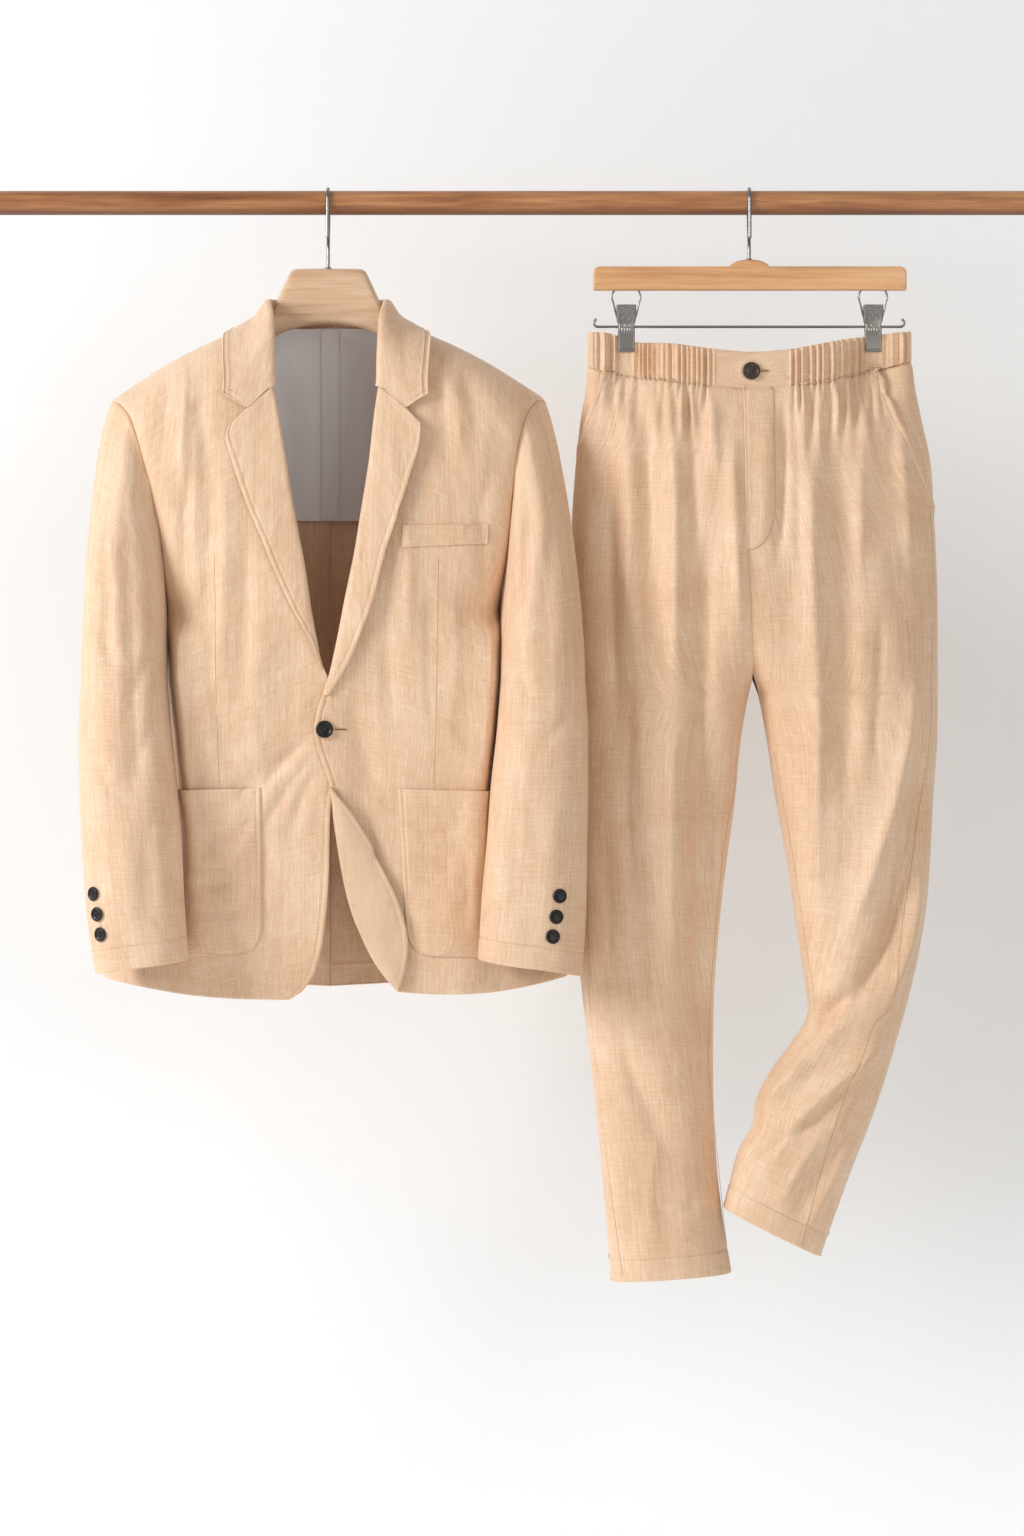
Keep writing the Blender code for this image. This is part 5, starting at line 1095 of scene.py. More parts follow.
SLEEVE_CREASES = {
    (-1, -1): [
        (-3.4, 8, 205, 285, 201, 400, 198, 525, 192, 700), (-2.6, 7, 226, 330, 224, 430, 220, 560),
        (-1.8, 7, 219, 378, 224, 460, 226, 500), (-2.4, 7, 168, 462, 184, 486, 196, 524),
        (-2.2, 7, 163, 524, 186, 570, 200, 618), (-1.8, 6, 236, 430, 226, 470, 206, 500),
        (1.6, 9, 232, 250, 236, 340, 232, 430), (-1.8, 7, 240, 560, 226, 600, 200, 640),
        (1.5, 9, 208, 620, 200, 700, 196, 780), (-1.5, 7, 176, 620, 180, 700, 172, 770),
        (-1.4, 6, 246, 640, 232, 690, 226, 740),
    ],
    (-1, 1): [
        (-2.2, 8, 214, 300, 206, 400, 200, 520), (-2.2, 7, 250, 500, 224, 530, 186, 540),
        (-1.8, 7, 246, 560, 214, 590, 180, 600), (1.8, 10, 226, 600, 214, 700, 206, 780),
        (-1.6, 7, 178, 440, 196, 500, 190, 600),
    ],
    (1, -1): [
        (2.4, 8, 198, 285, 192, 380, 186, 430), (-2.2, 8, 236, 315, 228, 420, 234, 525),
        (-2, 7, 210, 300, 204, 400, 196, 480), (-2.2, 7, 184, 470, 204, 500, 222, 540),
        (-2, 7, 266, 520, 244, 552, 214, 574), (-1.8, 7, 180, 560, 200, 606, 214, 660),
        (1.6, 9, 236, 600, 228, 700, 222, 780), (-1.5, 7, 192, 640, 196, 700, 190, 770),
        (-1.5, 6, 262, 600, 250, 660, 244, 720),
    ],
    (1, 1): [
        (-2.2, 8, 226, 300, 222, 400, 216, 520), (-2.2, 7, 262, 490, 236, 520, 200, 536),
        (-1.9, 7, 260, 560, 226, 580, 192, 606), (1.8, 10, 240, 600, 228, 700, 222, 780),
        (-1.6, 7, 196, 430, 212, 500, 206, 590),
    ],
}
HEAD_SPREAD, HEAD_FOOT, ARMHOLE_ROWS = 56.0, 500.0, 9
SLEEVE_BELOW, CUFF_TURN, RING_SQUARE, CUFF_SLANT = 291.0, 25.0, 0.84, 690


def sleeve_ring(side, d, q, face):
    """Point of the sleeve below the head at level d, q from outside (0) to inside (1): an ellipse with
    flatter faces that slants forward towards the cuff."""
    rings = SLEEVE_RINGS[side]
    inner, outer, y, half = (smooth(d, rings["in_d"], rings[k]) for k in ("in_a", "out_a", "y", "half"))
    slant = (rings["out_d"][-1] - rings["in_d"][-1]) * smoothstep((d - CUFF_SLANT) / 110)
    turn = np.cos(np.pi * q)
    return np.stack([(inner + outer) / 2 + (outer - inner) / 2 * np.sign(turn) * np.abs(turn) ** RING_SQUARE,
                     y + face * half * np.abs(np.sin(np.pi * q)) ** RING_SQUARE,
                     d + slant * (0.5 + 0.5 * turn)], axis=-1)


def sleeve_half(side, face, q):
    """Grid of half a sleeve: a Hermite sweep from the armhole over the head, then rings to the cuff."""
    a, d = (refined(FRONT_ROWS[side][k][:ARMHOLE_ROWS], 0, q * (ARMHOLE_ROWS - 1))
            for k in ("out_a", "out_d"))
    start = np.stack([a - 1.2, (front_y if face < 0 else back_y)(side, a, d), d], axis=-1)
    start[0, 1] = 0.0
    end = sleeve_ring(side, HEAD_FOOT, q, face)
    drop = HEAD_FOOT - d
    forward = (0.7 - 0.4 * q**3) * (end[:, 1] - start[:, 1])
    leave = np.stack([HEAD_SPREAD * np.cos(np.pi * q / 2) ** 2, forward, (0.3 + 0.5 * q**3) * drop], axis=-1)
    arrive = np.stack([0 * q, 0 * q, 0.85 * drop], axis=-1)
    t = placed(300.0, 5.0, FREE[:8], (0.0,))[:-1, None, None]
    head = hermite(t, start, leave, end, arrive)
    down = SLEEVE_BELOW * placed(SLEEVE_BELOW, 4.2, (0.0,), HEM, (SLEEVE_BELOW - CUFF_TURN,))
    return np.concatenate([head, sleeve_ring(side, HEAD_FOOT + down[:, None], q, face)])


sleeve_grids = {}
for side in (-1, 1):
    halves, q = [], edged(46)
    for face in (-1, 1):
        grid = sleeve_half(side, face, q)
        a, d = grid[..., 0], grid[..., 2]
        fold = creases(SLEEVE_CREASES[side, face], a, d) + rumple(a, d, 50 + 3 * side + face, 1.2)
        fold *= np.sin(np.pi * q) ** 0.7 * smoothstep(rim_distance(grid, "top") / 26)
        halves.append(raised(grid, fold, (0, face, 0)))
    grid = sewn_round(halves, slice(None))
    top, run = rim_distance(grid, "top"), lengths(grid, 1)
    height = (seam_dip(top, 0.6, 1.6) + hem_shape(rim_distance(grid, "bottom"), CUFF_TURN)
              + seam_dip(top - 5, -0.9, 3.0) + seam_dip(run - 0.93 * run[:, -1:], 0.7, 1.4))
    grid = raised(grid, height, None)
    grid[:, -1] = grid[:, 0]
    sleeve_grids[side] = grid
    piece = cloth(f"sleeve_{SIDES[side]}", grid, JACKET_X, side, blazer_linen, None,
                  [f"sleeve_upper_{SIDES[side]}", f"sleeve_under_{SIDES[side]}"],
                  uv=tube_uv(grid, lengths(grid, 1)), tube=True)


# Lapels and the lower left edge: the front's cloth rolled over and laid back on itself, topstitched along its
# free edge. The lower edge shows its inner face.

LAPEL_ROWS = {
    -1: columns("in_a in_d mid_a mid_d out_a out_d", [
        (54.3, 197.5, 80.2, 219.3, 101, 240), (51, 212, 80, 228, 103.4, 252), (47, 235, 76, 248, 99, 268),
        (41, 270, 70, 282, 93, 288), (35, 308, 62, 316, 83, 316), (28, 346, 51, 352, 67, 353),
        (20, 388, 38, 392, 51, 393), (14, 430, 27, 430, 34, 429), (8, 462, 14, 462, 16, 462),
        (2, 492, 3, 492.5, 3.6, 493),
    ]),
    1: columns("in_a in_d mid_a mid_d out_a out_d", [
        (54.3, 197.5, 79.2, 217.3, 99, 237), (52, 212, 79, 227, 98.6, 248), (49, 235, 76, 247, 95.9, 265),
        (44, 280, 68, 288, 87, 292), (36, 330, 58, 334, 74, 336), (29, 374, 47, 377, 60, 377),
        (20, 418, 38, 419, 49, 419), (12, 460, 26, 461, 34, 461), (5, 492, 14, 494, 18, 495),
        (-2, 517, 2, 518, 4, 519),
    ]),
}
LAPEL_STAND = {-1: 2.0, 1: 7.0}
FACING_ROWS = columns("in_a in_d mid_a mid_d out_a out_d", [
    (4, 612, 5, 612.5, 6, 613), (8, 640, 14, 637, 21, 632), (11, 664, 23, 661, 36, 655),
    (15, 692, 33, 689, 53, 684), (20, 720, 44, 719, 69, 717), (27, 745, 53, 745, 80, 745),
    (36, 767, 60, 769, 85, 771), (47, 789, 65, 791, 84, 793), (58, 807, 69, 809, 80, 811),
    (72, 823.5, 73.5, 824, 75, 824.5),
])


def lapel_height(side, u, rows):
    """Height of a lapel off its front: a soft roll, and a stand that fades towards the button."""
    taper = smooth(rows["in_d"], [199, 420, 519], [1.0, 0.85, 0.5])[:, None]
    stand = smooth(rows["in_d"], [199, 330, 470, 519], [0.8, 1.0, 0.6, 0.0])[:, None]
    return (2.5 + (0.5 + 2.6 * np.sin(np.pi * (0.12 + 0.8 * u)) * (1 - 0.55 * u)) * taper
            + LAPEL_STAND[side] * stand * u**1.2)


def edge_height(side, u, rows):
    """Height of the turned lower edge off its front."""
    return 2.6 + 5.0 * u + 1.8 * np.sin(np.pi * np.clip(u, 0, 1)) + 0 * rows["in_d"][:, None]


def flap(side, rows, height, wide, seed, more=0.0):
    """A turned-back edge: rows across it by quadratics, a round roll under at its inner edge, then flat cloth
    whose height off the front is a function of the side, the share across and the row."""
    rows = drifted(rows, row_places(rows, 3.6, FREE, FREE))
    u = placed(wide, 3.0, (3.5,), FREE)
    turn = np.radians(np.linspace(-75, 90, 11))[:-1]
    reach = np.hypot(rows["out_a"] - rows["in_a"], rows["out_d"] - rows["in_d"])[:, None]
    top = height(side, 0.05, rows)
    r = np.minimum((top + 2.6) / 2, reach / 3)
    flat = r / reach + (u - u[0]) / (1 - u[0]) * (1 - r / reach)
    across = np.concatenate([r * (1 - np.cos(turn)) / reach, flat], axis=1)
    lift = np.concatenate([top - r + r * np.sin(turn), height(side, flat, rows)], axis=1)
    keys = (1 - across) * (1 - 2 * across), 4 * across * (1 - across), across * (2 * across - 1)
    a, d = (sum(key * rows[f"{end}_{k}"][:, None] for key, end in zip(keys, ("in", "mid", "out")))
            for k in "ad")
    grid = on_front(side, a, d, lift)
    away = rim_distance(grid, "right")
    edge = hem_shape(away) + seam_dip(rim_distance(grid, "top"), more, 1.2)
    wave = rumple(grid[..., 0], grid[..., 2], seed, 0.5) * smoothstep(away / 14)
    return raised(grid, edge + wave * smoothstep(lengths(grid, 1) / 16), AHEAD)


lapel_grids = {}
for side in (-1, 1):
    lapel_grids[side] = flap(side, LAPEL_ROWS[side], lapel_height, 100.0, 71 + side, 0.5)
    piece = cloth(f"lapel_{SIDES[side]}_turned", lapel_grids[side], JACKET_X, side, blazer_linen,
                  AHEAD, [f"lapel_{SIDES[side]}"])

facing_grid = flap(1, FACING_ROWS, edge_height, 60.0, 83)
piece = cloth("turned_edge", facing_grid, JACKET_X, 1, linen_inside, AHEAD,
              ["turned_back_edge"])


# Collar: stand and fall in one strip, folded over at the roll and topstitched round its free edge. Its ends
# lie on the lapels with a notch beside them.

ON_FRONT, ON_BACK, ROLL = -99, 99, 2.9
COLLAR_ROWS = columns("seam_a seam_d seam_y roll_a roll_d roll_y mid_a mid_d mid_y edge_a edge_d edge_y", [
    (0, 119.3, 52.5, 0, 97, 55, 0, 122, 62.5, 0, 148, ON_BACK),
    (22, 119.7, 51.5, 20, 97, 54, 24, 122, 61, 26, 148, ON_BACK),
    (45, 120.3, 46, 40, 97.5, 47, 50, 122, 56, 57, 148, ON_BACK),
    (58, 120.5, 34, 54, 98.5, 31, 68, 122, 42, 82, 147.5, ON_BACK),
    (64, 120.8, 17, 60, 100, 13, 76, 120, 18, 97, 142.5, ON_BACK),
    (66, 121, 0, 61.5, 101.5, -5, 78, 119.5, -3, 103, 134, 0),
    (64, 125, -22, 60, 105, -24, 80, 130, -31, 105, 147, ON_FRONT),
    (60, 139, -38, 57, 119, -43, 80, 148, ON_FRONT, 105, 160, ON_FRONT),
    (57, 158, -50, 55.5, 142, -57, 80, 169, ON_FRONT, 104.5, 178, ON_FRONT),
    (55, 178, -58, 54.5, 170, -64, 80.5, 195, ON_FRONT, 104.4, 192, ON_FRONT),
    (54.5, 197, -65, 54, 198, -68, 81.5, 220, ON_FRONT, 105.4, 206, ON_FRONT),
])


def back_surface(side, a, d, height):
    """Points a height off the plain back."""
    by_a = (back_y(side, a + NEARBY, d) - back_y(side, a - NEARBY, d)) / (2 * NEARBY)
    by_d = (back_y(side, a, d + NEARBY) - back_y(side, a, d - NEARBY)) / (2 * NEARBY)
    off = height / np.sqrt(1 + by_a**2 + by_d**2)
    return np.stack([a - off * by_a, back_y(side, a, d) + off, d - off * by_d], axis=-1)


rails = {k: np.stack([COLLAR_ROWS[f"{k}_a"], COLLAR_ROWS[f"{k}_y"], COLLAR_ROWS[f"{k}_d"]], axis=-1)
         for k in ("seam", "roll", "mid", "edge")}
for k, height in (("mid", 6.4), ("edge", 7.4)):
    for mark, surface in ((ON_FRONT, on_front), (ON_BACK, back_surface)):
        flat = COLLAR_ROWS[f"{k}_y"] == mark
        rails[k][flat] = surface(-1, rails[k][flat][:, 0], rails[k][flat][:, 2], np.float64(height))
out = unit((rails["mid"] - rails["seam"]) * (1, 1, 0))
down_in, down_out = (unit(rails[k] - rails["roll"]) for k in ("seam", "mid"))
strip = np.stack([
    rails["seam"], rails["roll"] - ROLL * out + 3.0 * down_in, rails["roll"],
    rails["roll"] + ROLL * out + 3.0 * down_out, (rails["roll"] + rails["mid"]) / 2 + 1.4 * out,
    rails["mid"], (rails["mid"] + rails["edge"]) / 2, rails["edge"],
], axis=1)
strip = np.concatenate([strip[:0:-1] * (-1, 1, 1), strip])
strip = refined(strip, 0, placed(330.0, 3.4, FREE, FREE) * (len(strip) - 1))
share = placed(80.0, 2.4, (0.0, 1.5), FREE)
grid = refined(strip, 1, np.interp(share, [0, 0.26, 0.32, 0.38, 0.48, 0.62, 0.82, 1.0], np.arange(8)))
free = rim_distance(grid, "right")
ends = hem_shape(rim_distance(grid, "top bottom"), drop=0.6)
ends *= smoothstep((rim_distance(grid, "left") - 45) / 12)
wave = rumple(lengths(grid, 0), lengths(grid, 1), 91, 0.5) * smoothstep(free / 12)
collar_grid = raised(grid, hem_shape(free) + ends + wave, UP)
uv = np.stack([lengths(collar_grid, 1), lengths(collar_grid, 0)], axis=-1)
piece = cloth("collar_fold", collar_grid, JACKET_X, 1, blazer_linen, UP, ["collar"], uv=uv)


# Patch pockets, chest welt, back-neck lining: pockets double-stitched round three sides with a turned hem at
# the mouth; the welt a narrow stitched strip; the lining light grey, coloured paler as painted light against
# the shade in the neck, with a tape down its middle.

POCKETS = {
    -1: {"in_top": 67.0, "in_bottom": 67.0, "out": 196.0, "top": 614.0, "bottom": 788.0},
    1: {"in_top": 75.0, "in_bottom": 84.0, "out": 204.0, "top": 615.0, "bottom": 789.0},
}
POCKET_CORNER, MOUTH_TURN, POCKET_MOUTH = 29.0, 20.0, (0.0, 0.6, 1.2, 2.0, 3.0, 5.0)
POCKET_CREASES = {
    -1: [
        (-1.6, 6, 72, 640, 92, 662, 128, 668), (1.5, 6, 74, 660, 98, 686, 140, 690),
        (-1.6, 6, 72, 690, 96, 712, 132, 716), (-1.3, 7, 76, 736, 104, 744, 150, 738),
        (1.3, 8, 110, 700, 150, 712, 186, 700), (-1.4, 9, 150, 636, 158, 700, 152, 770),
    ],
    1: [
        (-1.4, 6, 84, 650, 112, 662, 150, 654), (1.2, 7, 90, 690, 124, 704, 164, 696),
        (-1.3, 8, 140, 640, 148, 700, 140, 772), (-1.2, 7, 96, 730, 128, 742, 170, 736),
    ],
}
LINING, TAPE_HALF = {"half": 110.0, "top": 124.5, "bottom": 330.0, "off": -6.2}, 9.5
WELT = {"in_a": 79.5, "out_a": 169.0, "in_d": 342.0, "out_d": 340.5, "in_low": 365.5, "out_low": 361.0}
for side in (-1, 1):
    size = POCKETS[side]
    top, bottom = size["top"], size["bottom"]
    down = top + (bottom - top) * placed(bottom - top, 3.4, POCKET_MOUTH, FREE, (MOUTH_TURN,))
    into = np.clip((down - (bottom - POCKET_CORNER)) / POCKET_CORNER, 0, 1)
    inset = POCKET_CORNER * (1 - np.sqrt(1 - into**2)) * 0.93
    inner = (np.interp(down, [top, bottom], [size["in_top"], size["in_bottom"]]) + inset)[:, None]
    u = placed(130.0, 3.2, FREE, FREE)
    a = inner * (1 - u) + (size["out"] - inset)[:, None] * u
    d = down[:, None] + 0.02 * (a - inner)
    grid = on_front(side, a, d, 1.7 + 0 * a)
    edges, mouth = rim_distance(grid, "left right bottom"), lengths(grid, 0)
    puff = 1.5 * smoothstep(edges / 30) + 1.1 * np.exp(-mouth / 26) * smoothstep(edges / 50)
    fold = (rumple(a, d, 101 + side, 1.2) + creases(POCKET_CREASES[side], a, d)) * smoothstep(edges / 12)
    grid = raised(grid, puff + fold + hem_shape(edges, 5.0) + hem_shape(mouth, MOUTH_TURN, 2.0, 0.8), AHEAD)
    piece = cloth(f"patch_pocket_{SIDES[side]}", grid, JACKET_X, side, blazer_linen, AHEAD,
                  [f"pocket_{SIDES[side]}"], wall=1.0)

u, v = placed(90.0, 2.6, FREE[:9], FREE[:9]), placed(22.0, 1.2, FREE[:7], FREE[:7])[:, None]
high, low = (WELT[f"in_{end}"] + (WELT[f"out_{end}"] - WELT[f"in_{end}"]) * u for end in ("d", "low"))
a = WELT["in_a"] + (WELT["out_a"] - WELT["in_a"]) * u - 0.8 * v
grid = on_front(1, a, high + (low - high) * v, 1.6 + 0 * a)
edges = rim_distance(grid, "left right top bottom")
grid = raised(grid, hem_shape(edges, 2.6, 1.8, 0.8) + 0.5 * smoothstep(edges / 8), AHEAD)
piece = cloth("breast_welt", grid, JACKET_X, 1, blazer_linen, AHEAD, ["chest_welt"], wall=1.0)

a = np.linspace(-LINING["half"], LINING["half"], 90) + np.zeros((60, 1))
top = LINING["top"] + 46 * smoothstep((np.abs(a) - 50) / 62)
d = top + (LINING["bottom"] - top) * np.linspace(0, 1, 60)[:, None]
pleat = 1.5 * np.cos(a / 8.5 + 0.6 * np.sin(d / 60))
pleat *= smoothstep((d - 150) / 60) * smoothstep((np.abs(a) - 10) / 14)
inside = {side: back_surface(side, np.abs(a), d, LINING["off"] + pleat) for side in (-1, 1)}
grid = np.where((a < 0)[..., None], inside[-1] * (-1, 1, 1), inside[1])
piece = cloth("neck_lining", grid, JACKET_X, 1, lining_cloth, AHEAD, ["nape_lining"],
              wall=0.8)

a = np.linspace(-TAPE_HALF, TAPE_HALF, 24) + np.zeros((50, 1))
d = np.linspace(LINING["top"], LINING["bottom"] - 1, 50)[:, None] + 0 * a
grid = back_surface(1, np.abs(a), d, LINING["off"] - 2.7 + 0.5 * (np.abs(a) / TAPE_HALF) ** 6)
grid[..., 0] = a
piece = cloth("neck_tape", grid, JACKET_X, 1, lining_cloth, AHEAD, ["nape_tape"],
              wall=0.8)


# Buttons: dark horn with a rolled rim, a dish and four sewn holes, filled with black discs of painted shade;
# the waist button is a little browner.


def horn(name, light, dark):
    """Horn: near black, with cloudy streaks and a soft polish."""
    skin = Finish(name, Specular_IOR_Level=0.3, Coat_Weight=0.12, Coat_Roughness=0.2)
    place = skin.coords("Object")
    cloud = place.noise((160.0, 160.0, 420.0), 4.0, 0.6)
    tint = ((cloud - 0.5) * 1.8 + 0.5).clamped().blend(colour(*dark), colour(*light))
    skin.link(Base_Color=tint, Roughness=0.26 + cloud * 0.2)
    return skin.material


button_horn = horn("button_horn", (38, 30, 27), (11, 10, 10))
thread = Finish("button_thread", Base_Color=colour(58, 50, 44), Roughness=0.8, Sheen_Weight=0.3).material
# Black discs in the button holes: painted shade of the holes.
button_hole_shade = Finish("button_hole_dark", Base_Color=colour(6, 5, 5), Roughness=0.8).material


BUTTON = np.array([(0, 0.2), (0.55, 0.2), (0.86, 0.5), (0.985, 1.1), (1, 1.7), (0.965, 2.3), (0.9, 2.75),
                   (0.83, 2.95), (0.76, 2.85), (0.69, 2.35), (0.6, 1.95), (0.42, 1.75), (0.2, 1.7), (0, 1.7)])
BUTTON_PIT = np.array([(0, 0.04), (0.8, 0.04), (0.86, 0.0), (0, -0.3)])
PIT_OFF, PIT_AT, THREAD_LOW, THREAD_ARCH = 0.15, 1.72, 1.8, 0.45
button_pits, button_threads = [], []


def button(name, stands_for, diameter, at, normal):
    """A turned button with four holes sunk in its dish, black discs of painted shade, and crossed threads
    through them, at a point on the cloth. The holes and threads are kept for one mesh each."""
    normal = unit(np.asarray(normal, float))
    across = unit(np.cross(UP, normal))
    up = np.cross(normal, across)
    body = turned(BUTTON * (diameter / 2, 1) * MM, 56, at, normal, across)
    piece = closed_piece(name, [body], button_horn, [stands_for], sharp=55.0)
    off = PIT_OFF * diameter
    corners = off * np.array([(1, 1), (-1, 1), (-1, -1), (1, -1)])
    for x, z in corners:
        centre = at + (across * x + up * z) * MM + normal * PIT_AT * MM
        button_pits.append(turned(BUTTON_PIT * MM, 14, centre, normal, across))
    share = np.linspace(-1, 1, 9)[:, None]
    lift = THREAD_LOW + THREAD_ARCH * np.sqrt(1 - share**2)
    for x, z in corners[:2]:
        for shift in (-0.22, 0.22):
            line = at + (across * (share * x + shift) + up * (share * z)) * MM + normal * lift * MM
            button_threads.append(swept(line, 0.2 * MM, 6))
    return piece


surface = on_front(1, np.array(-0.8), np.array(553.2), 1.0)
button("front_closing_button", "front_button", 18.0, world_points(surface, JACKET_X, 1), (0.02, -1.0, 0.0))
CUFF_BUTTONS = {
    -1: ((236.0, 722.5), (232.0, 743.3), (228.5, 764.0)),
    1: ((241.5, 724.5), (238.0, 745.8), (234.5, 766.0)),
}
for side in (-1, 1):
    half = sleeve_grids[side][:, :sleeve_grids[side].shape[1] // 2]
    outwards = facing_normals(half, AHEAD)
    for number, (a, d) in enumerate(CUFF_BUTTONS[side], start=1):
        nearest = np.argmin((half[..., 0] - a) ** 2 + (half[..., 2] - d) ** 2)
        i, j = np.unravel_index(nearest, half.shape[:2])
        normal = outwards[i, j] * -np.sign(outwards[i, j, 1])
        point = world_points(np.array([a, half[i, j, 1], d]) + 0.4 * normal, JACKET_X, side)
        button(f"cuff_button_{SIDES[side]}_{'abc'[number - 1]}", f"cuff_button_{SIDES[side]}_{number}", 15.0,
               point, normal * (side, 1, -1))


# Trousers: two tapering legs joined at the centre seam and crotch, slant pockets at the hips, long folds that
# fall from the gathered waist, the left leg swung inwards and creased behind its knee.

LEG_ROWS = {
    -1: columns("in_a in_d out_a out_d out_y front back closure", [
        (10.4, 198, 172.5, 177, 0, 27, 25, 0), (10.4, 214, 174.5, 196, 3, 31, 31, 0),
        (10.2, 240, 180, 228, 8, 38, 40, 0), (9.8, 280, 185, 274, 12, 45, 51, 0),
        (9, 330, 189, 330, 15, 50, 60, 0.05), (6.8, 380, 190, 380, 16, 53, 64, 0.2),
        (4.2, 425, 191, 425, 16, 54, 63, 0.42), (1.8, 465, 191, 465, 14, 55, 60, 0.68),
        (0.6, 493, 190.5, 493, 12, 55, 57, 0.88), (4, 517, 190, 520, 10, 55, 55, 1),
        (12, 564, 190, 564, 8, 55, 55, 1), (19, 635, 190, 635, 4, 54, 54, 1),
        (31, 725, 186, 725, 0, 52, 52, 1), (39, 815, 180, 815, 0, 49, 49, 1),
        (41, 889, 171, 889, 0, 47, 47, 1), (40, 955, 163.5, 955, 0, 45, 45, 1),
        (36.5, 1016, 157.5, 1018, 0, 44, 44, 1), (29.5, 1074, 152, 1080, 0, 43, 43, 1),
        (21.5, 1122, 148, 1131, 0, 42, 42, 1),
    ]),
    1: columns("in_a in_d out_a out_d out_y front back closure", [
        (-10.4, 198, 167, 172, 0, 27, 25, 0), (-10.4, 214, 171, 192, 2, 31, 31, 0),
        (-10.2, 240, 178, 225, 5, 38, 40, 0), (-9.8, 280, 188, 272, 6, 45, 51, 0),
        (-9, 330, 191.5, 328, 6, 50, 60, 0.05), (-6.8, 380, 194, 380, 5, 53, 64, 0.2),
        (-4.2, 425, 195, 425, 4, 54, 63, 0.42), (-1.8, 465, 195, 465, 3, 55, 60, 0.68),
        (-0.6, 493, 195, 493, 2, 55, 57, 0.88), (6, 515, 195, 520, 1, 55, 55, 1),
        (16, 567, 194, 570, 0, 55, 55, 1), (25, 627, 190, 627, 0, 54, 54, 1),
        (35, 682, 187, 685, 0, 52, 52, 1), (43, 735, 183, 738, 0, 51, 51, 1),
        (50, 784, 174, 792, 0, 50, 50, 1), (56, 821, 164, 834, -2, 49, 49, 1),
        (58, 852, 153, 872, -5, 48, 46, 1), (42, 879, 141, 912, -8, 48, 45, 1),
        (19, 910, 129, 948, -11, 48, 44, 1), (3.5, 940, 116.5, 981, -13, 46, 44, 1),
        (-0.5, 967, 105, 1009, -14, 44, 43, 1), (-15, 994, 93, 1042, -14, 43, 42, 1),
        (-24, 1026, 80, 1078, -14, 42, 41, 1), (-31, 1053, 71, 1104, -14, 42, 41, 1),
    ]),
}
LEG_SQUARE, TURNED_FROM, NIP_REACH, NIPPED, LEG_TURN = 2.3, 12, 28.0, 3.2, 25.0
POCKET_CUT = {-1: ((177, 215, 252), (0.895, 0.95, 0.985)),
              1: ((172, 220, 267, 314), (0.80, 0.86, 0.915, 0.985))}
BAND = columns("a top bottom", [
    (-172, 135.5, 173), (-150, 137, 179), (-123, 146.5, 184), (-85, 149, 189.5), (-43, 154.5, 194.5),
    (-3, 158, 197.5), (32, 156, 195), (75, 148.5, 190.5), (112, 141.5, 181), (138, 138, 174),
    (166, 135, 167),
])
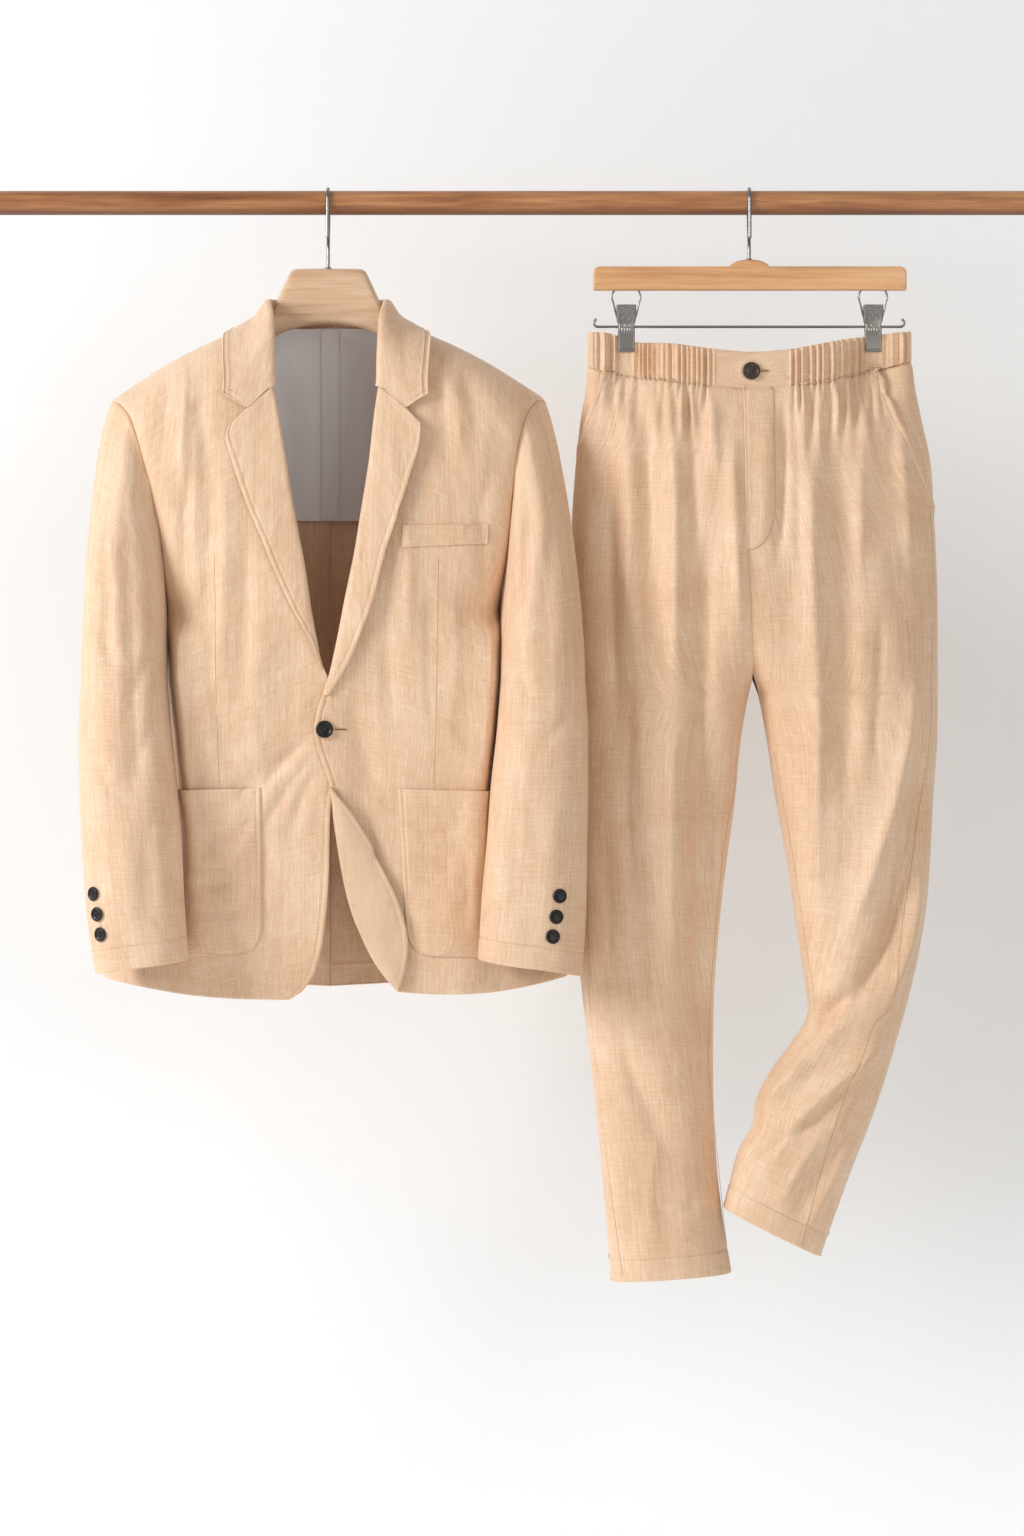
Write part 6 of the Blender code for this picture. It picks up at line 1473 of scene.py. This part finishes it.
LEG_CREASES = {
    (-1, -1): [
        (4, 12, 131, 190, 128, 330, 126, 480), (-4, 12, 150, 230, 147, 400, 142, 620),
        (-6, 11, 113, 188, 112, 320, 108, 520), (5.5, 10, 84, 200, 82, 380, 80, 560),
        (-4, 8, 66, 195, 64, 280, 62, 400), (-9, 15, 50, 280, 52, 520, 57, 740, 64, 860),
        (-8, 22, 36, 500, 40, 660, 50, 820, 48, 1010), (4, 12, 84, 540, 88, 700, 84, 860),
        (6, 11, 22, 215, 20, 340, 18, 470), (4, 8, 42, 200, 38, 300), (5, 22, 112, 480, 104, 640, 96, 860),
        (-3.4, 15, 150, 850, 116, 938, 82, 1010), (3.2, 20, 66, 820, 58, 910, 52, 1010),
        (-2, 9, 160, 640, 150, 760, 154, 860), (-1.8, 7, 50, 1040, 84, 1060, 118, 1052),
        (2, 10, 100, 960, 110, 1040, 104, 1110), (-2, 8, 128, 500, 134, 640, 126, 760),
    ],
    (1, -1): [
        (-6.5, 9, 31, 198, 29, 300, 26, 400), (6.5, 12, 57, 195, 60, 360, 66, 560, 69, 800),
        (-3.5, 8, 44, 200, 46, 300, 50, 430), (-5, 16, 92, 210, 97, 420, 98, 700),
        (3.5, 9, 116, 195, 112, 300, 110, 420), (4, 11, 150, 225, 160, 300, 164, 400),
        (8, 13, 172, 470, 160, 565, 142, 640, 116, 720, 84, 808),
        (-9, 11, 184, 560, 170, 668, 140, 768, 102, 838, 72, 868), (6, 9, 176, 680, 158, 780, 128, 866),
        (-11, 9, 110, 818, 68, 852, 34, 886, 2, 922), (8, 11, 146, 868, 96, 914, 44, 962, 2, 1022),
        (-7.5, 10, 116, 900, 60, 956, -14, 1012), (5.5, 8, 58, 894, 26, 926, 6, 954),
        (-3.6, 12, 128, 922, 84, 996, 36, 1076), (3, 10, 104, 980, 78, 1030, 50, 1084),
        (-3, 9, 132, 420, 128, 520, 124, 610), (3, 9, 20, 1050, 45, 1010, 70, 970),
    ],
    (-1, 1): [
        (-5, 13, 34, 200, 40, 430, 48, 700), (5, 13, 66, 200, 70, 520, 74, 800),
        (-5, 12, 102, 195, 96, 450, 90, 640), (5, 13, 136, 190, 128, 540, 122, 700),
        (4, 18, 100, 700, 112, 1000), (-3, 9, 30, 560, 80, 530, 140, 540),
        (-2.4, 9, 50, 900, 90, 880, 150, 890), (-2, 8, 60, 940, 100, 925, 140, 940),
        (-3, 11, 70, 640, 66, 760, 74, 900),
    ],
    (1, 1): [
        (5, 13, 28, 200, 36, 500, 52, 720), (-5, 12, 62, 200, 58, 430, 66, 640),
        (5, 13, 98, 195, 104, 520, 100, 760), (-5, 12, 140, 190, 132, 450, 126, 700),
        (-6, 12, 60, 880, 100, 870, 150, 850), (-4, 9, 30, 930, 80, 915, 120, 880),
        (4, 11, 40, 960, 84, 930, 128, 900), (-3, 9, 40, 560, 90, 530, 150, 545),
        (-2.6, 10, 90, 620, 84, 720, 90, 800), (2.6, 9, 0, 1020, 40, 980, 70, 960),
    ],
}
LEG_NODES = {-1: ["front", "back"],
             1: ["front", "back", "thigh_front", "thigh_back", "shin_front", "shin_back"]}


def nip(a, d):
    """1 where a clip presses the band flat, fading below it."""
    near = sum(np.exp(-(np.abs((a - at) / NIP_REACH) ** 2.6)) for at in CLIP_A)
    return near * (1 - smoothstep((d - 172) / 70))


def gather_list(seed, first, last, deep=()):
    """Places, half widths, depths, reach and lean of the elastic's gathers: slight ones close together, and
    the deep ones at the places given."""
    dice = np.random.default_rng(seed)
    made, at = [], first
    while at < last:
        if all(abs(at - k) > 3.4 for k in deep):
            half, deep_here = dice.uniform(1.2, 1.8), dice.uniform(1.8, 2.9)
            outer = 1.2 if abs(at) > 96 else 1.0
            made.append((at, half, deep_here * outer, dice.uniform(30, 120), dice.normal(0, 0.05)))
        at += dice.uniform(4.2, 6.8)
    made += [(at, dice.uniform(1.9, 2.5), dice.uniform(3.2, 4.4), dice.uniform(90, 190), dice.normal(0, 0.04))
             for at in deep]
    return made


GATHERS = {-1: gather_list(5, -170.0, -44.0, (-161, -149, -121, -92, -86, -50))
           + gather_list(8, 42.0, 166.0, (58, 64, 79, 104, 140, 153)),
           1: gather_list(21, -168.0, 164.0, (-120, -84, -46, -8, 30, 72, 118))}


def gathered(across, below, face):
    """Height of the gathers at a place across the band, a distance below its seam (negative on the band)."""
    total = np.zeros(np.broadcast(across, below).shape)
    swell, down = 1 + 0.5 * np.exp(-(((below - 22) / 18) ** 2)), np.maximum(below, 0)
    for at, half, deep, reach, lean in GATHERS[face]:
        away = (across - at - lean * down) / (half * (1 + down / 40))
        bell = np.exp(-away**2) - 0.42 * np.exp(-((np.abs(away) - 2.0) ** 2) * 1.6)
        total -= deep * bell * (1 - smoothstep(below / reach)) * swell
    return total


def leg_surface(side, at, face, x):
    """Points of a leg's plain front (-1) or back (1) on rows of its table, x across from the inseam or the
    centre seam to 1 at the outseam: a superellipse, pressed by the clips, its top edge led to the band."""
    rows = drifted(LEG_ROWS[side], at)
    out_y, depth, closure = (rows[k][:, None] for k in ("out_y", "front" if face < 0 else "back", "closure"))
    level, t = at[:, None], (x + closure) / (1 + closure)
    a, d = between(rows, t)
    outer = smoothstep((t - 0.2) / 0.8)
    y = (out_y * (outer + (1 - outer) * smoothstep((level - TURNED_FROM) / 4))
         + face * depth * np.maximum(1 - np.abs(x) ** LEG_SQUARE, 0) ** (1 / LEG_SQUARE))
    pressed = nip(side * a, d)
    band_low = np.interp(side * a, BAND["a"], BAND["bottom"])
    d = np.where(level < 1, d + (1 - level) * (band_low - 1.5 - d), d)
    return np.stack([a, y * (1 - pressed) + face * NIPPED * pressed, d], axis=-1), pressed, band_low


def turn_at(x):
    """Turn round the superellipse at a place across, from 0 in its middle to a quarter turn."""
    return np.arcsin(np.clip(x, 0, 1) ** (LEG_SQUARE / 2))[:, None]


def leg_half(side, at, face, share, reach):
    """Grid of a leg's front (-1) or back (1) with its folds and the gathers that run down from the band, from
    the centre seam or inseam (share 0) to a reach towards the outseam (share 1)."""
    first = turn_at(drifted(LEG_ROWS[side], at)["closure"])
    turn = (turn_at(reach) + first) * share - first
    x = np.clip(np.sign(turn) * np.abs(np.sin(turn)) ** (2 / LEG_SQUARE), -1, 1)
    grid, pressed, band_low = leg_surface(side, at, face, x)
    a, d = grid[..., 0], grid[..., 2]
    fold = creases(LEG_CREASES[side, face], a, d) + rumple(a, d, 201 + 5 * side + face)
    fold += gathered(side * a, d - band_low, face) * smoothstep((np.abs(side * a + 3) - 38) / 12 + (face > 0))
    fold *= smoothstep((1 - np.abs(x)) / 0.2) * (1 - 0.5 * pressed)
    return raised(grid, fold, (0, face, 0))


leg_grids = {}
for side in (-1, 1):
    table = LEG_ROWS[side]
    at = row_places(table, 5.8, SEWN, HEM, (LEG_TURN,))
    levels, reaches = POCKET_CUT[side]
    out_d = np.interp(at, np.arange(len(table["out_d"])), table["out_d"])
    foot = levels[-1] + 14.0
    reach = np.minimum(smooth(out_d, [*levels, foot, foot + 40.0], [*reaches, 1.0, 1.0]), 1.0)
    front = leg_half(side, at, -1, placed(190.0, 1.6, SEWN, TUCKED[:8]), reach)
    back = leg_half(side, at, 1, placed(190.0, 2.0, SEWN, SEWN), np.ones(len(at)))
    mouth, away = smoothstep((foot - out_d) / 10)[:, None], rim_distance(front, "right")
    front = raised(front, (hem_shape(away, 6.0, 2.4) + 3.2 * np.exp(-away / 14)) * mouth, AHEAD)
    share, start = np.linspace(0, 1, 22), turn_at(reach - 0.03)
    hip = leg_surface(side, at, -1, np.sin(start + (np.pi / 2 - start) * share) ** (2 / LEG_SQUARE))[0]
    hip = raised(hip, -3.0 * (1 - share**3) + 0 * hip[..., 0], AHEAD)
    hip[:, -1] = back[:, -1]
    closed = drifted(table, at)["closure"] >= 0.999
    grid = sewn_round([np.concatenate([front, hip], axis=1), back], closed)
    low = hem_shape(rim_distance(grid, "bottom"), LEG_TURN)
    grid = raised(grid, low + seam_dip(rim_distance(grid, "top"), 1.7, 2.4), None)
    grid[closed, -1] = grid[closed, 0]
    leg_grids[side] = grid
    run = lengths(grid, 1)
    outseam = front.shape[1]
    piece = cloth(f"leg_{SIDES[side]}", grid, TROUSERS_X, side, trouser_linen, None,
                  [f"trouser_{k}_{SIDES[side]}" for k in LEG_NODES[side]] + [f"hip_piece_{SIDES[side]}"],
                  uv=tube_uv(grid, evened(run - run[:, outseam:outseam + 1])), tube=True)


# Waistband: a cased elastic, gathered in uneven pleats all round but for a plain front with button and slit.
# Two lines of stitching run round it through the elastic.


BAND_ENDS, BAND_DEEP, BAND_NIPPED, BAND_PLAIN = (-172.4, 167.4), {-1: 27.0, 1: 25.0}, 3.0, 42


def band_half(face, count):
    """Grid of the band's front (-1) or back (1): a superellipse pressed by the clips, puffed between its
    seams, with the gathers and the two lines of stitching through the elastic."""
    a = np.linspace(*BAND_ENDS, count)[None, :]
    v = placed(40.0, 2.0, (0.0, 0.7, 1.5, 2.4), (0.0, 0.8, 1.8, 3.0))[:, None]
    top, bottom = (smooth(a, BAND["a"], BAND[k]) for k in ("top", "bottom"))
    x = np.clip(np.abs(a) / np.where(a < 0, -BAND_ENDS[0], BAND_ENDS[1]), 0, 1)
    pressed = nip(a, 150.0 + 0 * a)
    deep = BAND_DEEP[face] * (1 - x**LEG_SQUARE) ** (1 / LEG_SQUARE)
    y = face * (deep * (1 - pressed) + BAND_NIPPED * pressed)
    held = sum(np.exp(-(((a - at) / 11.0) ** 4)) for at in CLIP_A)
    pleats = gathered(a, -1.0 + 0 * v, face) * (1 - 0.35 * np.abs(2 * v - 1) ** 3)
    pleats = pleats * (1 - held) * smoothstep((1 - x) / 0.05)
    lines = seam_dip((v - 0.33) * 40, 0.45, 1.2) + seam_dip((v - 0.67) * 40, 0.45, 1.2)
    lines = lines * smoothstep((np.abs(a + 3) - BAND_PLAIN) / 6 + (face > 0))
    grid = np.stack([a + 0 * v, y + 0 * v, top + (bottom - top) * v], axis=-1)
    soft = (1.6 * np.sin(np.pi * v) ** 0.6 + rumple(a, grid[..., 2], 301 + face, 0.5)) * (1 - pressed)
    return raised(grid, (soft + pleats + lines) * smoothstep((1 - x) / 0.04), (0, face, 0))


grid = np.concatenate([band_half(-1, 620), band_half(1, 420)[:, ::-1]], axis=1)
grid = np.concatenate([grid, grid[:, :1]], axis=1)
over = rolled_over(rim_distance(grid, "top"), 2.4, 1.1)
grid = raised(grid, over + seam_dip(rim_distance(grid, "bottom"), 0.3, 1.0), None)
grid[:, -1] = grid[:, 0]
band_front = grid[:, :360]
uv = np.stack([lengths(grid, 1), grid[..., 2]], axis=-1)
piece = cloth("band", grid, TROUSERS_X, 1, trouser_linen, None,
              ["waistband_front", "waistband_back"], uv=uv, wall=1.8, tube=True)


# Fly, waist button, seams and hems of the trousers: a placket under a straight edge with its curved line of
# stitching, slant pockets stitched twice beside the mouth, flat side seams drawn as darker ribbons of painted
# shade, hems caught up inside.

left_front = leg_grids[1][:, :leg_grids[1].shape[1] // 2]
v = placed(170.0, 3.0, (0.0, 0.8), FREE)[:, None]
d = 195.0 + 171.5 * v
u = placed(33.0, 1.6, FREE[:9], FREE[:9])
inner = np.interp(d, [195, 330, 367], [-10.6, -9.2, -7.6])
outer = np.interp(d, [195, 325, 338, 350, 359, 364, 366.5], [22.6, 22.6, 20.6, 16.4, 10.6, 5.0, -1.0])
a = inner + (outer - inner) * u
both = settled(left_front, AHEAD, a, d + 0 * a)
grid = both[..., :3] + both[..., 3:] * (1.7 - 0.9 * u**1.5 + 0.35 * np.sin(np.pi * u))[:, None]
edge, far = rim_distance(grid, "left"), rim_distance(grid, "right bottom")
fly_grid = raised(grid, hem_shape(edge, 3.0, 1.4, 0.8) - 0.7 * (1 - smoothstep(far / 2.5)), AHEAD)
piece = cloth("fly_front", fly_grid, TROUSERS_X, 1, trouser_linen, AHEAD, ["fly"], wall=0.8)

button_brown = horn("waist_button_horn", (84, 64, 52), (38, 28, 24))
point = settled(band_front, AHEAD, -2.1, 178.8)[:3] - (0, 0.8, 0)
piece = button("waist_closing_button", "waist_button", 18.5, world_points(point, TROUSERS_X, 1),
               (0.0, -1.0, 0.05))
piece.data.materials[0] = button_brown
# The button holes' black discs, painted shade, as one mesh.
closed_piece("button_holes_dark", button_pits, button_hole_shade, sharp=60.0)
closed_piece("button_threads", button_threads, thread, sharp=60.0)


def buttonhole(line, centre, side, long, wide=2.1):
    """A worked buttonhole: a thread cord round a slit, on a line of points and normals."""
    run = lengths(line[:, :3], 0)
    turn = np.linspace(0, 2 * np.pi, 61)
    x = run[-1] / 2 + (long / 2) * np.sign(np.cos(turn)) * np.abs(np.cos(turn)) ** 0.35
    z = wide / 2 * np.sign(np.sin(turn)) * np.abs(np.sin(turn)) ** 0.7
    here = np.stack([np.interp(x, run, line[:, k]) for k in range(6)], axis=-1)
    across = np.cross(unit(line[-1, :3] - line[0, :3]), here[:, 3:])
    path = here[:, :3] + z[:, None] * across + 0.15 * here[:, 3:]
    return world_points(swept(path, 0.55, 8, ends=False), centre, side)


def marked(grid, points, count):
    """Points and normals on the front of a grid along a curve through (a, d) places."""
    a, d = curve_through(points, count).T
    return settled(grid, AHEAD, a, d)


hole_thread = Finish("buttonhole_thread", Base_Color=colour(206, 168, 126), Roughness=0.85, Sheen_Weight=0.3)
# The slit: a dark ribbon along each buttonhole, painted shade of the cut.
slit_shade = Finish("buttonhole_slit", Base_Color=colour(92, 62, 40), Roughness=0.95)
hole_line = marked(front_grids[1], [(9.0, 553.2), (16, 553.3), (22.6, 553.4)], 40)
band_line = settled(band_front, AHEAD, np.linspace(7.6, 16.4, 20), np.full(20, 178.6))
closed_piece("blazer_buttonhole", [buttonhole(hole_line, JACKET_X, 1, 13.6)], hole_thread.material,
             sharp=60.0)
closed_piece("waist_buttonhole", [buttonhole(band_line, TROUSERS_X, 1, 8.8)], hole_thread.material,
             sharp=60.0)
closed_piece("buttonhole_slits", [ribbon(hole_line[3:-3], JACKET_X, 1, 1.1, 0.12),
                                  ribbon(band_line[2:-2], TROUSERS_X, 1, 1.1, 0.12)],
             slit_shade.material, sharp=60.0)

# A darker linen: its ribbons along the darts and the trouser seams are painted shade of the seam grooves, and
# the stitches take it as their thread colour.
seam_shade_and_thread = linen("seam_shade_and_thread", (214, 180, 142), (188, 150, 110), (150, 112, 76), 0.6)
# Chest darts as darker ribbons: painted shade of their grooves.
DARTS = {-1: [(115, 372), (114, 440), (113, 520), (110, 610)],
         1: [(117, 376), (116, 440), (115, 520), (112, 610)]}
darts = [ribbon(marked(front_grids[side], DARTS[side], 120), JACKET_X, side, 0.9, 0.1) for side in (-1, 1)]
closed_piece("blazer_darts", darts, seam_shade_and_thread, sharp=60.0)

EDGE_STITCH, EDGE_FROM, EDGE_TO = 6.0, {-1: 0.64, 1: 0.55}, 0.995
runs = []
for side in (-1, 1):
    open_edge = track(front_grids[side], AHEAD, "left", EDGE_STITCH, EDGE_FROM[side], EDGE_TO)
    runs += [stitch_run(track(lapel_grids[side], AHEAD, "right", EDGE_STITCH), JACKET_X, side),
             stitch_run(open_edge, JACKET_X, side)]
runs += [stitch_run(track(grid, facing, "right", EDGE_STITCH), JACKET_X, 1)
         for grid, facing in ((facing_grid, AHEAD), (collar_grid, UP))]
for side in (-1, 1):
    runs += hem_stitches(sleeve_grids[side], 24.0, JACKET_X, side)
stitching("blazer_stitching", runs, seam_shade_and_thread)

LEG_SEAMS = {
    -1: [[(173, 710), (171, 833), (165, 895), (150, 1024), (136.5, 1124)],
         [(17, 604), (30, 672), (40.5, 778), (44.7, 845), (46.8, 909), (41.6, 948), (32, 1040), (24, 1120)]],
    1: [[(186, 316), (189, 386), (187, 486), (184, 566), (171.6, 646), (164, 699), (153, 765), (145.6, 834),
         (125, 859), (113, 891), (102, 915), (91.5, 940), (70, 1010), (49, 1090)],
        [(22, 575), (31, 627), (41, 682), (49, 735), (56, 784), (62, 821), (64, 846)]],
}
# Side seams and inseams as darker ribbons: painted shade of their grooves.
seams, runs = [], [stitch_run(track(fly_grid, AHEAD, "right", 1.4), TROUSERS_X, 1)]
for side in (-1, 1):
    half = leg_grids[side][:, :leg_grids[side].shape[1] // 2 + 6]
    seams += [ribbon(marked(half, path, 260), TROUSERS_X, side, 1.0, 0.12) for path in LEG_SEAMS[side]]
    runs += hem_stitches(leg_grids[side], 23.5, TROUSERS_X, side, 10)
closed_piece("trouser_seams", seams, seam_shade_and_thread, sharp=60.0)
stitching("trouser_stitching", runs, seam_shade_and_thread)
